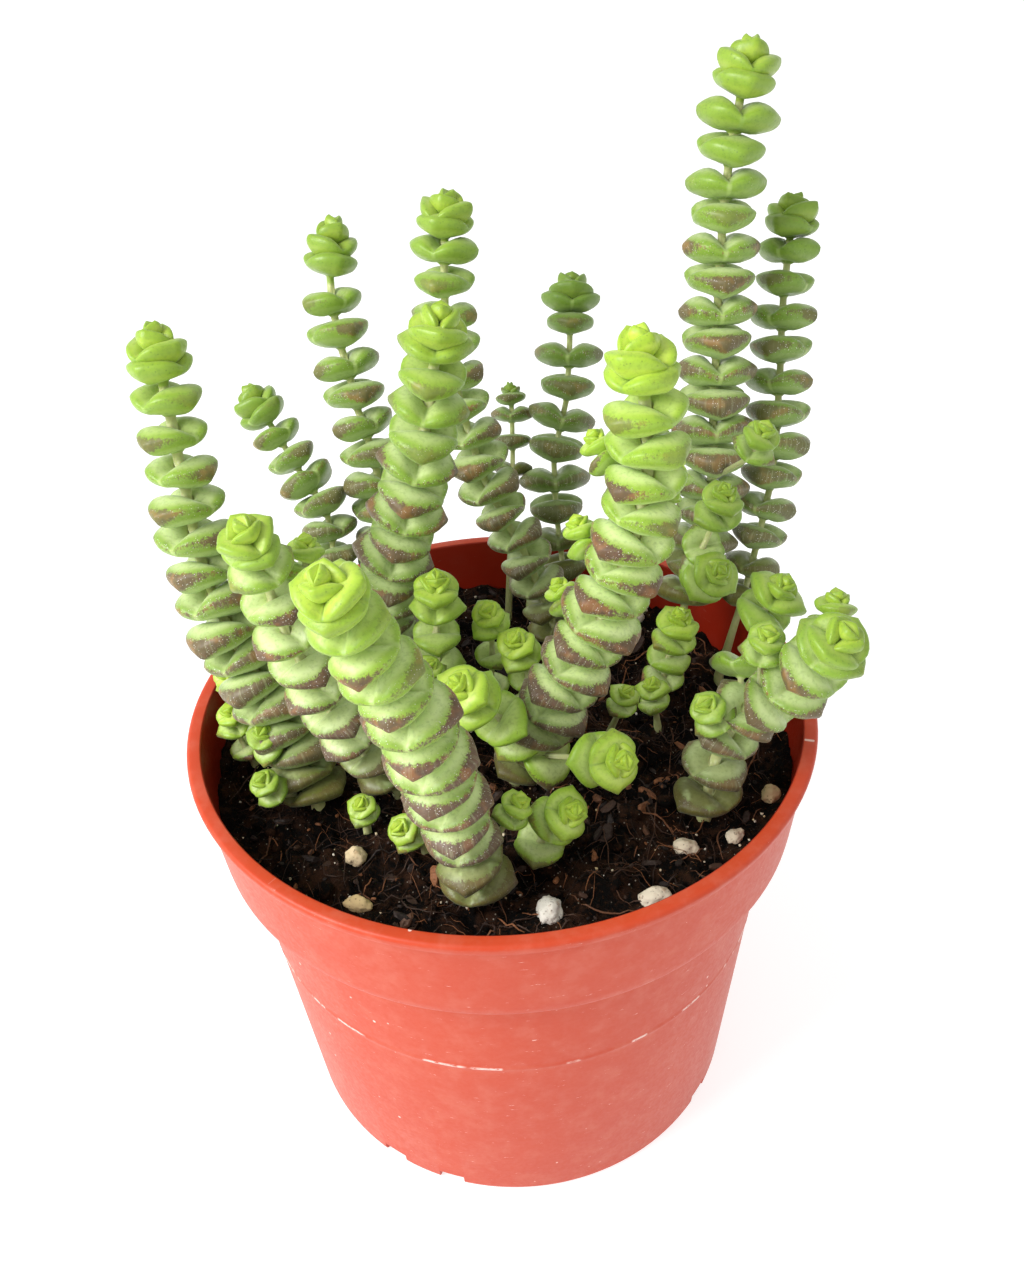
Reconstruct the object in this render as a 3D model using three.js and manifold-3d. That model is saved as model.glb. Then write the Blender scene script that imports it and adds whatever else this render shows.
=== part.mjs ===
// A baby necklace crassula in its plastic grower's pot.
// Millimetres, +Z up. The origin is the middle of the pot's underside, and +Y points to the back.
import * as THREE from 'three';
import { mergeVertices } from 'three/addons/utils/BufferGeometryUtils.js';
import Module from 'manifold-3d';

// Pot: radii and heights of its outside, from the base up to the lip
const potHeight = 81.3;
const baseRadius = 41.3;
const bodyTopRadius = 46.4;
const stepHeight = 62.6;
const collarRadius = 49.9;
const collarTopRadius = 51.4;
const lipRadius = 52.5;
const lipHeight = 1.9;
const wall = 1.3;
const floorThickness = 2;
const baseBevel = 1.2;
const stepBevel = 0.6;
const stepWall = 1.2;
const lipBevel = 0.5;
const potSides = 36;

// Drain notches: four pairs at the edge of the base
const notchWidth = 4.7;
const notchHeight = 2.4;
const notchReach = 6;
const notchPairs = 4;
const notchPairTurn = -117.3;
const notchSpread = 16.4;

// Soil: it fills the pot with a thin gap to the wall, and its top is uneven
const gap = 0.3;
const soilHeight = 71;
const soilRings = [15, 30, 44];
const clodHeight = 0.9;

// Feet of the stems in the soil. The stalk is straight up to footTop over the soil's height.
const footDepth = 7;
const footTop = 1;
const holeSides = 6;
const holeClearance = 0.75;

// Stalks: the radius of a thin one, and the most that a stalk takes of a leaf pair's half length
const stalkSides = 4;
const thinStalk = 0.7;
const stalkShare = 0.3;

// A leaf pair: sizes are shares of its half length, measured from the stem to a leaf's tip
const leafSides = 8;
const pairWidth = 0.84;
const pairShape = 1.05;
const bellyDepth = 0.46;
const crownHeight = 0.22;
const archHeight = 0.12;
const bellyWaist = 0.5;
const crownWaist = 0.3;
const keel = 0.4;
const bellyReach = 0.7;
const crownReach = 0.55;
const foldSoftness = 0.2;
const openFold = 7;

// How a leaf thins towards its margin: the inner and outer powers of its curve, on top and underneath
const crownPowers = [2.6, 0.6];
const bellyPowers = [4, 0.55];

// The most that a leaf pair's thickness takes of the room over the pair beneath it. Crossed pairs interlock,
// so it can be more than all of it.
const airShare = 1.15;

// Rosettes on stems under smallHalf lack the inmost pair. Leaf pairs over middleHalf have a belly ring, and
// full pairs over largeHalf have a crown ring too.
const smallHalf = 4.2;
const middleHalf = 5.3;
const largeHalf = 6.7;

// The rosette at a tip: places over the last full pair, sizes, widths, folds and arches of its leaf pairs
const budPlaces = [0.8, 1.1, 1.36, 1.57];
const budSizes = [0.93, 0.9, 0.64, 0.42];
const budWidths = [0.84, 0.8, 0.7, 0.5];
const budFolds = [14, 26, 50, 68];
const budArches = [0.04, 0.02, 0, 0];

// How far the pairs differ from each other
const sizeSpread = 0.05;
const turnSpread = 7;
const leanSpread = 2.5;

// Main stems. The path runs from the soil to the tip, half is the half length of a full leaf pair, pairs is
// the number of full pairs, first is the height of the lowest along the path, low and high are the sizes of
// the lowest and the highest against the largest, and turn is the direction of the highest pair in degrees.
// stalk is the radius of the bare stem, rise is how far the rosette is drawn out, a spacing over 1 sets the
// pairs wider apart towards the tip, and shoots grow from the axils.
const mainStems = [
  {
    name: 'stem_front_left', half: 7, pairs: 13, first: 4, low: 0.86, high: 0.84, turn: -10, stalk: 1.3,
    rise: 0.93,
    path: [[-4, -34, 71], [-7, -36, 90.5], [-11, -40, 112.5], [-15.5, -43, 127], [-18.5, -46, 138]],
    shoots: [
      { half: 3.2, pairs: 1, first: 6, turn: 20, path: [[-5, -34.5, 78], [-0.5, -31.5, 82.5], [3, -31, 89]] },
    ],
  },
  {
    name: 'stem_front_right', half: 7.1, pairs: 15, first: 4, low: 0.9, high: 0.92, turn: 42, stalk: 1.3,
    path: [[2, -8, 71], [9.5, -11.5, 92], [17, -13, 110], [22, -12.5, 129.5], [20.9, -10.3, 149]],
    shoots: [
      { half: 5.4, pairs: 3, first: 5, turn: 50, path: [[4.5, -10, 79], [1.5, -14, 87.5], [-3.5, -18, 96],
        [-6.5, -21, 103]] },
      { half: 5.7, pairs: 2, first: 7, turn: 5, path: [[3, -9, 75], [9, -15, 82], [13.5, -22, 87],
        [18.5, -29, 92.5]] },
      { half: 3.6, pairs: 1, first: 7, turn: 10, path: [[17.5, -13, 113], [14, -7, 116.5],
        [12.5, -5.5, 120.5]] },
      { half: 3.4, pairs: 1, first: 6, turn: 50, path: [[13, -13, 101], [11, -6, 104.5],
        [9.5, -4, 108.5]] },
      { half: 3.6, pairs: 1, first: 7, turn: 30, path: [[21.5, -12.5, 126], [17, -6, 129.5],
        [15, -4, 133.5]] },
      { half: 3.6, pairs: 1, first: 7, turn: 80, path: [[21, -12.5, 121], [25.5, -6.5, 124.5],
        [28, -4.5, 128.5]] },
    ],
  },
  {
    name: 'stem_centre', half: 7, pairs: 15, first: 5, low: 0.85, high: 0.88, turn: 86, stalk: 1.2,
    spacing: 1.12,
    path: [[-20, 15, 71], [-18.5, 11, 95.5], [-13.5, 8, 113], [-9, 6, 129.5], [-5.3, 5, 147.5]],
  },
  {
    name: 'stem_back_centre', half: 6.5, pairs: 15, first: 5, low: 0.85, high: 0.92, turn: -22, stalk: 1,
    rise: 0.8,
    path: [[12, 27, 71], [6, 28, 91], [-1, 30, 107.5], [-5.5, 33, 128.5], [-5.5, 35.5, 142.5],
      [-4.4, 37.6, 153.2]],
  },
  {
    name: 'stem_back_left', half: 7.1, pairs: 13, first: 6, low: 0.85, high: 0.86, turn: 30, stalk: 1,
    rise: 1.3, spacing: 1.06,
    path: [[-19, 25, 71], [-20, 33.5, 104.5], [-23, 39, 120], [-25.5, 44.5, 135.5], [-24.2, 48.4, 146.6]],
  },
  {
    name: 'stem_left', half: 7.4, pairs: 15, first: 4, low: 0.95, high: 0.8, turn: -30, stalk: 1.2,
    spacing: 1.12,
    path: [[-31, -13, 71], [-34.5, -9.5, 86], [-40.5, -6.5, 101.5], [-43.5, -4, 114.5],
      [-44.5, -0.5, 130.5], [-45.2, 3.5, 147.5]],
    shoots: [
      { half: 3.4, pairs: 1, first: 6, turn: 35, path: [[-31.5, -12.5, 74], [-36, -16.5, 77.5],
        [-38.5, -18, 83.5]] },
      { half: 3.4, pairs: 1, first: 5, turn: 70, path: [[-34, -10.5, 83], [-37, -13, 85], [-37.5, -14, 90]] },
    ],
  },
  {
    name: 'stem_left_arching', half: 6.2, pairs: 8, first: 14, low: 0.8, high: 0.9, turn: 45, stalk: 0.8,
    path: [[-30.2, 22, 71], [-29.4, 30.2, 98], [-34.2, 35.2, 108], [-41.5, 40.8, 120.5]],
  },
  {
    name: 'stem_left_second', half: 6.1, pairs: 9, first: 6, low: 0.85, high: 0.85, turn: 40, stalk: 1,
    path: [[-18, -10, 71], [-25, -16, 93], [-29, -20, 111], [-30.5, -22, 123.5], [-31.5, -24, 132]],
    shoots: [
      { half: 3.6, pairs: 1, first: 7, turn: 30, path: [[-28.5, -19.3, 109.2], [-26.5, -17.5, 117],
        [-25, -16, 126]] },
    ],
  },
  {
    name: 'stem_right_tall', half: 7.2, pairs: 17, first: 19, low: 0.85, high: 0.88, turn: 0, stalk: 1,
    rise: 0.95,
    path: [[30, 14, 71], [37, 21, 105.5], [38, 26, 122.5], [38.5, 30.5, 140.5], [39.5, 34, 157],
      [42.3, 37.3, 173.4]],
    shoots: [
      { half: 4, pairs: 1, first: 10, turn: -35, path: [[37, 22, 109], [39, 14.5, 115.5],
        [41.5, 11.5, 119], [43.5, 9.5, 126]] },
      { half: 4.4, pairs: 2, first: 12, turn: 20, path: [[35, 19, 96], [34.5, 10, 103], [36, 6.5, 112],
        [37, 5, 118]] },
      { half: 5, pairs: 2, first: 12, turn: 50, path: [[34, 18, 90], [35, 12, 97], [35, 6, 100],
        [36.5, 1, 105]] },
    ],
  },
  {
    name: 'stem_right_back', half: 6.6, pairs: 12, first: 17, low: 0.85, high: 0.86, turn: -40, stalk: 0.9,
    rise: 0.85,
    path: [[40, 15, 71], [45.6, 21, 92], [49.5, 28, 110.5], [51, 38, 134], [52.6, 43.4, 148.3]],
  },
  {
    name: 'stem_back_thin', half: 6.6, pairs: 9, first: 12, low: 0.9, high: 0.87, turn: 90, stalk: 0.8,
    rise: 0.82,
    path: [[14, 34, 71], [12, 43, 99], [15, 49, 114.5], [16.5, 55.9, 132.2]],
  },
  {
    name: 'stem_back_small', half: 4.3, pairs: 3, first: 30, low: 0.9, high: 0.9, turn: -10, stalk: 0.7,
    path: [[2, 38, 71], [4, 45, 97], [4.5, 49, 107], [4.5, 52, 115]],
  },
  {
    name: 'stem_right', half: 6.4, pairs: 7, first: 4, low: 0.95, high: 0.95, turn: 40, stalk: 1.3,
    path: [[32, -19, 71], [33.5, -18.5, 83], [37.5, -19, 93], [41.5, -23, 99], [47, -30, 114.5]],
    shoots: [
      { half: 3.8, pairs: 1, first: 7, turn: 20, path: [[35, -19, 88], [32.5, -20, 92], [30, -21, 97]] },
      { half: 5.2, pairs: 2, first: 7, turn: 60, path: [[36.5, -18.5, 92], [37.5, -13, 97], [39, -11, 102],
        [43.5, -12.5, 112]] },
      { half: 4, pairs: 1, first: 10, turn: 10, path: [[44, -25.5, 104], [48, -19.5, 107],
        [49.5, -17, 113]] },
      { half: 3.6, pairs: 1, first: 9, turn: -20, path: [[39, -20, 95.5], [38, -22, 104],
        [38.5, -23.5, 111.5]] },
    ],
  },
];

// Small shoots with a foot of their own in the soil
const shootStems = [
  {
    name: 'shoot_centre', half: 5, pairs: 4, first: 10, turn: 0, stalk: 0.8,
    path: [[-11, 5, 71], [-10, 3, 92.5], [-9, 1, 107]],
    shoots: [
      { half: 2.8, pairs: 1, first: 5, turn: 30, path: [[-10.5, 4, 84], [-11, -1.2, 87.8],
        [-11, -3.9, 93.3]] },
    ],
  },
  { name: 'shoot_middle_left', half: 3.8, pairs: 3, first: 6, turn: 30, path: [[-2, 9.5, 71], [-1, 8, 88],
    [-1.5, 6, 97]] },
  { name: 'shoot_middle_right', half: 4.2, pairs: 3, first: 5, turn: 50, path: [[6, 6, 71], [4.5, 4, 85],
    [2.5, 1.5, 94]] },
  { name: 'shoot_front', half: 5, pairs: 2, first: 4, turn: -15, stalk: 0.8, path: [[5, -27, 71],
    [5.5, -28, 77], [7.5, -29, 81.5], [11, -32, 86.5]] },
  { name: 'shoot_front_low', half: 3.5, pairs: 1, first: 3.5, turn: 40, path: [[-13, -24, 71],
    [-14.5, -24.5, 75], [-17, -26.5, 79.5]] },
  { name: 'shoot_left_low', half: 3.1, pairs: 1, first: 3, turn: 60, path: [[-22.5, -19, 71],
    [-22.5, -19, 75], [-23, -20, 79]] },
  { name: 'shoot_left_wall', half: 3.4, pairs: 2, first: 4, turn: 30, path: [[-43, -2, 71], [-44.5, -2, 78],
    [-45.5, -2, 85]] },
  { name: 'shoot_left_rim', half: 3.3, pairs: 2, first: 6, turn: 20, path: [[-42, 9, 71], [-44.5, 7, 80],
    [-47, 4, 88]] },
  { name: 'shoot_right_middle', half: 4.9, pairs: 3, first: 5, low: 0.92, turn: 30, path: [[28, 10, 71],
    [30, 9.9, 82], [31.5, 8.8, 92]] },
  { name: 'shoot_right_low', half: 3.6, pairs: 1, first: 5, turn: 70, path: [[27.1, 1.9, 71],
    [26.6, 2.7, 76], [25.6, 3.1, 82]] },
  { name: 'shoot_right_bare', half: 3.2, pairs: 1, first: 10, turn: 45, path: [[17.5, -1.5, 71],
    [19.5, -4, 80], [21, -5, 87]] },
];

// Pumice and perlite lumps in the top of the soil: place, half sizes and turn. lumpRise is the height of
// their middles over the soil.
const lumpRise = 0.3;
const lumps = [
  { name: 'perlite_front', at: [6, -38], size: [2.1, 3, 1.9], turn: -10 },
  { name: 'pumice_front_right', at: [22, -36], size: [2.7, 2, 1.6], turn: 15 },
  { name: 'pumice_right', at: [28, -26.5], size: [2.2, 1.7, 1.5], turn: 0 },
  { name: 'pumice_right_pink', at: [36, -24.5], size: [1.8, 1.4, 1.2], turn: 40 },
  { name: 'pumice_right_wall', at: [43.5, -15.5], size: [2.2, 1.6, 1.4], turn: 60 },
  { name: 'pumice_left', at: [-24, -25], size: [1.9, 1.8, 1.7], turn: 20 },
  { name: 'pumice_front_left', at: [-23, -34.5], size: [2.4, 1.6, 1.3], turn: -15 },
  { name: 'pumice_middle', at: [-13, -8.5], size: [2, 1.6, 1.4], turn: 25 },
  { name: 'pumice_back_left', at: [-10, 41], size: [2.3, 1.7, 1.4], turn: 50 },
  { name: 'perlite_back_right', at: [27, 36], size: [2, 1.8, 1.5], turn: -30 },
];

const manifold = await Module();
manifold.setup();

const radians = THREE.MathUtils.degToRad;

// A number from -1 to 1 that is always the same for the same two seeds
function jitter(seed, step) {
  const value = Math.sin(seed * 12.9898 + step * 78.233) * 43758.5453;
  return 2 * (value - Math.floor(value)) - 1;
}

function geometryFrom(points, triangles) {
  const geometry = new THREE.BufferGeometry();
  geometry.setAttribute('position', new THREE.Float32BufferAttribute(points, 3));
  geometry.setIndex(triangles);
  return geometry;
}

// Turns a closed mesh into a solid that can be joined and cut
function solidFrom(source) {
  const bare = source.clone();
  bare.deleteAttribute('normal');
  bare.deleteAttribute('uv');
  const merged = mergeVertices(bare, 1e-4);
  const triangles = [];
  for (let i = 0; i < merged.index.count; i += 3) {
    const corners = [merged.index.getX(i), merged.index.getX(i + 1), merged.index.getX(i + 2)];
    if (new Set(corners).size === 3) {
      triangles.push(...corners);
    }
  }
  return new manifold.Manifold(new manifold.Mesh({
    numProp: 3,
    vertProperties: new Float32Array(merged.attributes.position.array),
    triVerts: new Uint32Array(triangles),
  }));
}

function geometryOf(solid) {
  const mesh = solid.getMesh();
  return geometryFrom(Array.from(mesh.vertProperties), Array.from(mesh.triVerts));
}

function meshOf(name, geometry, finish) {
  const mesh = new THREE.Mesh(geometry, new THREE.MeshStandardMaterial(finish));
  mesh.name = name;
  return mesh;
}

// The inside of the pot's wall from the lip down, as radius and height
const inside = [
  [collarTopRadius - wall, potHeight - lipBevel], [collarRadius - wall, stepHeight + stepBevel + stepWall],
  [bodyTopRadius - wall, stepHeight - stepBevel + stepWall], [baseRadius - wall, floorThickness + baseBevel],
];

function makePot() {
  const lipBottom = potHeight - lipHeight;
  const profile = [
    [0, 0], [baseRadius - baseBevel, 0], [baseRadius, baseBevel],
    [bodyTopRadius, stepHeight - stepBevel], [collarRadius - stepBevel, stepHeight],
    [collarRadius, stepHeight + stepBevel], [collarTopRadius, lipBottom],
    [lipRadius, lipBottom + lipBevel], [lipRadius, potHeight - lipBevel], [lipRadius - lipBevel, potHeight],
    [inside[0][0] + lipBevel, potHeight], ...inside, [inside[3][0] - baseBevel, floorThickness],
    [0, floorThickness],
  ];
  const outline = profile.map(([radius, height]) => new THREE.Vector2(radius, height));
  const lathe = new THREE.LatheGeometry(outline, potSides);
  lathe.rotateX(Math.PI / 2);
  let pot = solidFrom(lathe);
  const notch = new THREE.BoxGeometry(notchReach, notchWidth, 2 * notchHeight);
  for (let pair = 0; pair < notchPairs; pair += 1) {
    for (const side of [-0.5, 0.5]) {
      const turn = radians(notchPairTurn + pair * 360 / notchPairs + side * notchSpread);
      const cutter = notch.clone();
      cutter.translate(baseRadius, 0, 0);
      cutter.rotateZ(turn);
      pot = pot.subtract(solidFrom(cutter));
    }
  }
  return geometryOf(pot);
}

const soilRadius = THREE.MathUtils.mapLinear(
  soilHeight, inside[1][1], inside[0][1], inside[1][0], inside[0][0],
) - gap;

// Height of the soil's top: low clods that fade out towards the wall
function soilTop(x, y) {
  const clods = Math.sin(0.31 * x + 0.7) * Math.cos(0.27 * y - 0.4);
  const slopes = 0.6 * Math.sin(0.19 * x - 0.43 * y + 1.9);
  const fade = 1 - Math.pow(Math.min(1, Math.hypot(x, y) / soilRadius), 4);
  return soilHeight + clodHeight * (clods + slopes) * fade;
}

function makeSoilBlock() {
  const points = [0, 0, soilTop(0, 0)];
  const triangles = [];
  const rings = [
    ...soilRings.map((radius) => ({ radius })),
    { radius: soilRadius, height: soilHeight },
    ...inside.slice(1).map(([radius, height]) => ({ radius: radius - gap, height: height + gap })),
    { radius: inside[3][0] - baseBevel - gap, height: floorThickness + gap },
  ];
  for (const { radius, height } of rings) {
    for (let side = 0; side < potSides; side += 1) {
      const turn = (2 * Math.PI * side) / potSides;
      const x = radius * Math.cos(turn);
      const y = radius * Math.sin(turn);
      points.push(x, y, height ?? soilTop(x, y));
    }
  }
  points.push(0, 0, floorThickness + gap);
  const last = points.length / 3 - 1;
  for (let side = 0; side < potSides; side += 1) {
    const next = (side + 1) % potSides;
    triangles.push(0, 1 + side, 1 + next);
    for (let ring = 0; ring < rings.length - 1; ring += 1) {
      const inner = 1 + ring * potSides;
      const outer = inner + potSides;
      triangles.push(inner + side, outer + side, outer + next);
      triangles.push(inner + side, outer + next, inner + next);
    }
    const rim = 1 + (rings.length - 1) * potSides;
    triangles.push(last, rim + next, rim + side);
  }
  return geometryFrom(points, triangles);
}

// One point of a leaf pair, in the pair's own frame with the stem along z and the leaves along x.
// reach runs from 0 at the stem to 1 at the margin, around is the turn about the stem, and face is 1 on top,
// -1 underneath and 0 on the margin.
function leafPoint(pair, reach, around, face) {
  const cosine = Math.cos(around);
  const sine = Math.sin(around);
  const along = pair.half * reach * cosine;
  const across = pair.half * pair.width * reach * Math.sign(sine) * Math.pow(Math.abs(sine), pairShape);
  const softness = foldSoftness * pair.half;
  const distance = Math.hypot(along, softness);
  const fold = radians(pair.fold);
  const share = Math.abs(along) / pair.half;
  const lobe = Math.sin(Math.min(1, 2 * share) * Math.PI / 2);
  const arch = 4 * pair.arch * share * (1 - share);
  const [inner, outer] = face > 0 ? crownPowers : bellyPowers;
  const thinning = Math.pow(1 - Math.pow(reach, inner), outer);
  const ridge = 1 - keel * Math.abs(across) / (pair.half * pair.width);
  const depth = face > 0
    ? pair.crown * THREE.MathUtils.lerp(crownWaist, 1, lobe) * thinning
    : face * pair.belly * THREE.MathUtils.lerp(bellyWaist, 1, lobe) * thinning * ridge;
  const tilt = fold * along / distance;
  return new THREE.Vector3(
    along * Math.cos(fold) - Math.sin(tilt) * (arch + depth),
    across,
    (distance - softness) * Math.sin(fold) + Math.cos(tilt) * (arch + depth),
  );
}

// The frame of a leaf pair: its place on the stem's curve, and axes with z along the stem
function pairFrame(curve, share, lean, leanTurn) {
  const up = curve.getTangentAt(share);
  const right = new THREE.Vector3(1, 0, 0).addScaledVector(up, -up.x).normalize();
  const back = new THREE.Vector3().crossVectors(up, right);
  const frame = new THREE.Matrix4().makeBasis(right, back, up);
  const tip = new THREE.Vector3(Math.cos(leanTurn), Math.sin(leanTurn), 0);
  frame.multiply(new THREE.Matrix4().makeRotationAxis(tip, lean));
  return frame.setPosition(curve.getPointAt(share));
}

// The leaf pairs of a stem, from the lowest to the middle of the rosette
function listPairs(stem, length, seed) {
  const tipHalf = stem.half * (stem.high ?? 1);
  const rise = tipHalf * (stem.rise ?? 1);
  const top = length - budPlaces.at(-1) * rise;
  const pairs = [];
  for (let i = 0; i < stem.pairs; i += 1) {
    const share = stem.pairs > 1 ? i / (stem.pairs - 1) : 1;
    const size = share < 0.5
      ? THREE.MathUtils.lerp(stem.low ?? 1, 1, 2 * share)
      : THREE.MathUtils.lerp(1, stem.high ?? 1, 2 * share - 1);
    pairs.push({
      height: THREE.MathUtils.lerp(stem.first, top, share ** (stem.spacing ?? 1)),
      half: stem.half * size * (1 + sizeSpread * jitter(seed, i)),
      width: pairWidth,
      fold: openFold,
      arch: archHeight,
      full: true,
    });
  }
  const buds = stem.half > smallHalf ? budPlaces.length : budPlaces.length - 1;
  for (let bud = 0; bud < buds; bud += 1) {
    pairs.push({
      height: top + budPlaces[bud] * rise,
      half: budSizes[bud] * tipHalf,
      width: budWidths[bud],
      fold: budFolds[bud],
      arch: budArches[bud],
      full: false,
    });
  }
  pairs.forEach((pair, i) => {
    const quarterTurns = stem.pairs - 1 - i;
    pair.turn = radians(stem.turn + 90 * quarterTurns + turnSpread * jitter(seed, i + 50));
    pair.quarterTurns = quarterTurns;
    pair.lean = radians(leanSpread * jitter(seed, i + 100));
    pair.leanTurn = Math.PI * jitter(seed, i + 150);
    const room = i > 0 ? pair.height - pairs[i - 1].height : pairs[1].height - pair.height;
    const thickness = Math.min(1, airShare * room / ((bellyDepth + crownHeight) * pair.half));
    pair.belly = bellyDepth * pair.half * thickness;
    pair.crown = crownHeight * pair.half * thickness;
    pair.arch *= pair.half;
  });
  return pairs;
}

// Joins two rings of points with triangles. One ring may have twice as many points as the other.
function stitch(triangles, lower, upper) {
  const count = Math.min(lower.length, upper.length);
  for (let i = 0; i < count; i += 1) {
    const next = (i + 1) % count;
    if (lower.length === upper.length) {
      triangles.push(lower[i], lower[next], upper[next], lower[i], upper[next], upper[i]);
    } else if (lower.length < upper.length) {
      const middle = upper[2 * i + 1];
      triangles.push(lower[i], lower[next], middle);
      triangles.push(lower[i], middle, upper[2 * i]);
      triangles.push(lower[next], upper[2 * next], middle);
    } else {
      const middle = lower[2 * i + 1];
      triangles.push(lower[2 * i], middle, upper[i]);
      triangles.push(middle, lower[2 * next], upper[next]);
      triangles.push(middle, upper[next], upper[i]);
    }
  }
}

// A leafy stem as one closed skin: rings of points about the stem's curve, up to the tip
function makeLeafyStem(stem, seed, foot) {
  const curve = new THREE.CatmullRomCurve3(stem.path.map((point) => new THREE.Vector3(...point)));
  curve.curveType = 'catmullrom';
  const length = curve.getLength();
  const pairs = listPairs(stem, length, seed);
  const points = [];
  const triangles = [];
  const stalk = stem.stalk ?? thinStalk;
  let below = null;
  const addRing = (ring) => {
    const indices = ring.map((point) => points.push(...point.toArray()) / 3 - 1);
    if (below) {
      stitch(triangles, below, indices);
    }
    below = indices;
  };
  const stalkRing = (frame, radius, height, turn) => Array.from({ length: stalkSides }, (_, i) => {
    const angle = turn + (2 * Math.PI * i) / stalkSides;
    return new THREE.Vector3(radius * Math.cos(angle), radius * Math.sin(angle), height).applyMatrix4(frame);
  });
  const base = new THREE.Matrix4().setPosition(...stem.path[0]);
  addRing(stalkRing(base, stalk, foot ? -footDepth : 0, radians(stem.turn)));
  triangles.push(below[0], below[2], below[1], below[0], below[3], below[2]);
  if (foot) {
    addRing(stalkRing(base, stalk, footTop, radians(stem.turn)));
  }
  pairs.forEach((pair, i) => {
    const frame = pairFrame(curve, Math.min(1, pair.height / length), pair.lean, pair.leanTurn);
    const size = Math.min(stalk, stalkShare * pair.half);
    const unturned = pair.turn - (Math.PI / 2) * pair.quarterTurns;
    const ringAt = (reach, face, sides) => Array.from({ length: sides }, (_, side) => {
      const around = (2 * Math.PI * side) / sides - pair.quarterTurns * (Math.PI / 2);
      const point = leafPoint(pair, reach, around, face);
      return point.applyAxisAngle(new THREE.Vector3(0, 0, 1), pair.turn).applyMatrix4(frame);
    });
    addRing(stalkRing(frame, size, -pair.belly * bellyWaist, unturned));
    if (pair.half > middleHalf) {
      addRing(ringAt(bellyReach, -1, stalkSides));
    }
    addRing(ringAt(1, 0, leafSides));
    if (pair.full && pair.half > largeHalf) {
      addRing(ringAt(crownReach, 1, stalkSides));
    }
    if (i < pairs.length - 1) {
      addRing(stalkRing(frame, size, pair.crown * crownWaist, unturned));
    } else {
      const apex = new THREE.Vector3(0, 0, pair.crown).applyMatrix4(frame);
      const tip = points.push(...apex.toArray()) / 3 - 1;
      below.forEach((index, side) => triangles.push(index, below[(side + 1) % leafSides], tip));
    }
  });
  return geometryFrom(points, triangles);
}

// A main stem with the shoots that grow from its axils, as one body
function makeStem(stem, seed) {
  const main = makeLeafyStem(stem, seed, true);
  if (!stem.shoots) {
    return main;
  }
  let joined = solidFrom(main);
  stem.shoots.forEach((shoot, i) => {
    joined = joined.add(solidFrom(makeLeafyStem(shoot, 10 * seed + i + 1, false)));
  });
  return geometryOf(joined);
}

function makeHole(stem) {
  const depth = potHeight;
  const hole = new THREE.CylinderGeometry(1, 1, depth, holeSides);
  const radius = (stem.stalk ?? thinStalk) + holeClearance;
  hole.rotateX(Math.PI / 2);
  hole.scale(radius, radius, 1);
  hole.translate(stem.path[0][0], stem.path[0][1], soilHeight - footDepth - gap + depth / 2);
  return hole;
}

// A lump, or with more room the hollow that it lies in
function makeLump(lump, room) {
  const stone = new THREE.DodecahedronGeometry(1);
  const [x, y] = lump.at;
  stone.scale(...lump.size.map((half) => half + room));
  stone.rotateZ(radians(lump.turn));
  stone.translate(x, y, soilTop(x, y) + lumpRise);
  return stone;
}

const terracotta = { color: 0xd9583c, roughness: 0.55, metalness: 0 };
const darkSoil = { color: 0x2a1a12, roughness: 1, metalness: 0 };
const leafGreen = { color: 0x7fae4e, roughness: 0.5, metalness: 0 };
const paleStone = { color: 0xe6dcc4, roughness: 0.9, metalness: 0 };

const plant = new THREE.Group();
plant.add(meshOf('pot', makePot(), terracotta));

let soil = solidFrom(makeSoilBlock());
const rooted = [...mainStems, ...shootStems];
rooted.forEach((stem) => {
  soil = soil.subtract(solidFrom(makeHole(stem)));
});
lumps.forEach((lump) => {
  soil = soil.subtract(solidFrom(makeLump(lump, gap)));
});
plant.add(meshOf('soil', geometryOf(soil), darkSoil));

lumps.forEach((lump) => {
  plant.add(meshOf(lump.name, geometryOf(solidFrom(makeLump(lump, 0))), paleStone));
});

rooted.forEach((stem, i) => {
  plant.add(meshOf(stem.name, makeStem(stem, i + 1), leafGreen));
});

export default plant;
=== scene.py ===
# A baby necklace crassula in its plastic grower's pot.
# Sizes are millimetres, as in the part's source, and become metres where a mesh is made.
from math import cos, floor, hypot, pi, radians, sin, sqrt

import bmesh
import bpy
import numpy as np
from mathutils import Matrix, Vector, noise


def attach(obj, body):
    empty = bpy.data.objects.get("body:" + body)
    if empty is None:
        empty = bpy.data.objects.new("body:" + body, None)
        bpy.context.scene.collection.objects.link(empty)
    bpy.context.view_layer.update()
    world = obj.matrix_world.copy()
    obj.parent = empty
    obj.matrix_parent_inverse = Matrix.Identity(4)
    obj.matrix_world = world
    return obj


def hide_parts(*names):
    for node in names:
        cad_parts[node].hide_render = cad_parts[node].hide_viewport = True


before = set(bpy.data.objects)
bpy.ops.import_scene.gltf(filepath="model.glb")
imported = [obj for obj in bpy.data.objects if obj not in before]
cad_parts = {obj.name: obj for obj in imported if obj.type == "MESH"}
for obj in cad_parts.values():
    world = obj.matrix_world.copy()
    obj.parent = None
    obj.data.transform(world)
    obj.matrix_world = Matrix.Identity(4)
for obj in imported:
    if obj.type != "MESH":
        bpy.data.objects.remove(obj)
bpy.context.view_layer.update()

MM = 0.001

# Pot: radii and heights of its outside, from the base up to the lip
POT_HEIGHT = 81.3
BASE_RADIUS = 41.3
BODY_TOP_RADIUS = 46.4
STEP_HEIGHT = 62.6
COLLAR_RADIUS = 49.9
COLLAR_TOP_RADIUS = 51.4
LIP_RADIUS = 52.5
LIP_HEIGHT = 1.9
WALL = 1.3
FLOOR_THICKNESS = 2
STEP_BEVEL = 0.6
STEP_WALL = 1.2
MOULD_RING_HEIGHT = 42
POT_SIDES = 144

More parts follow.
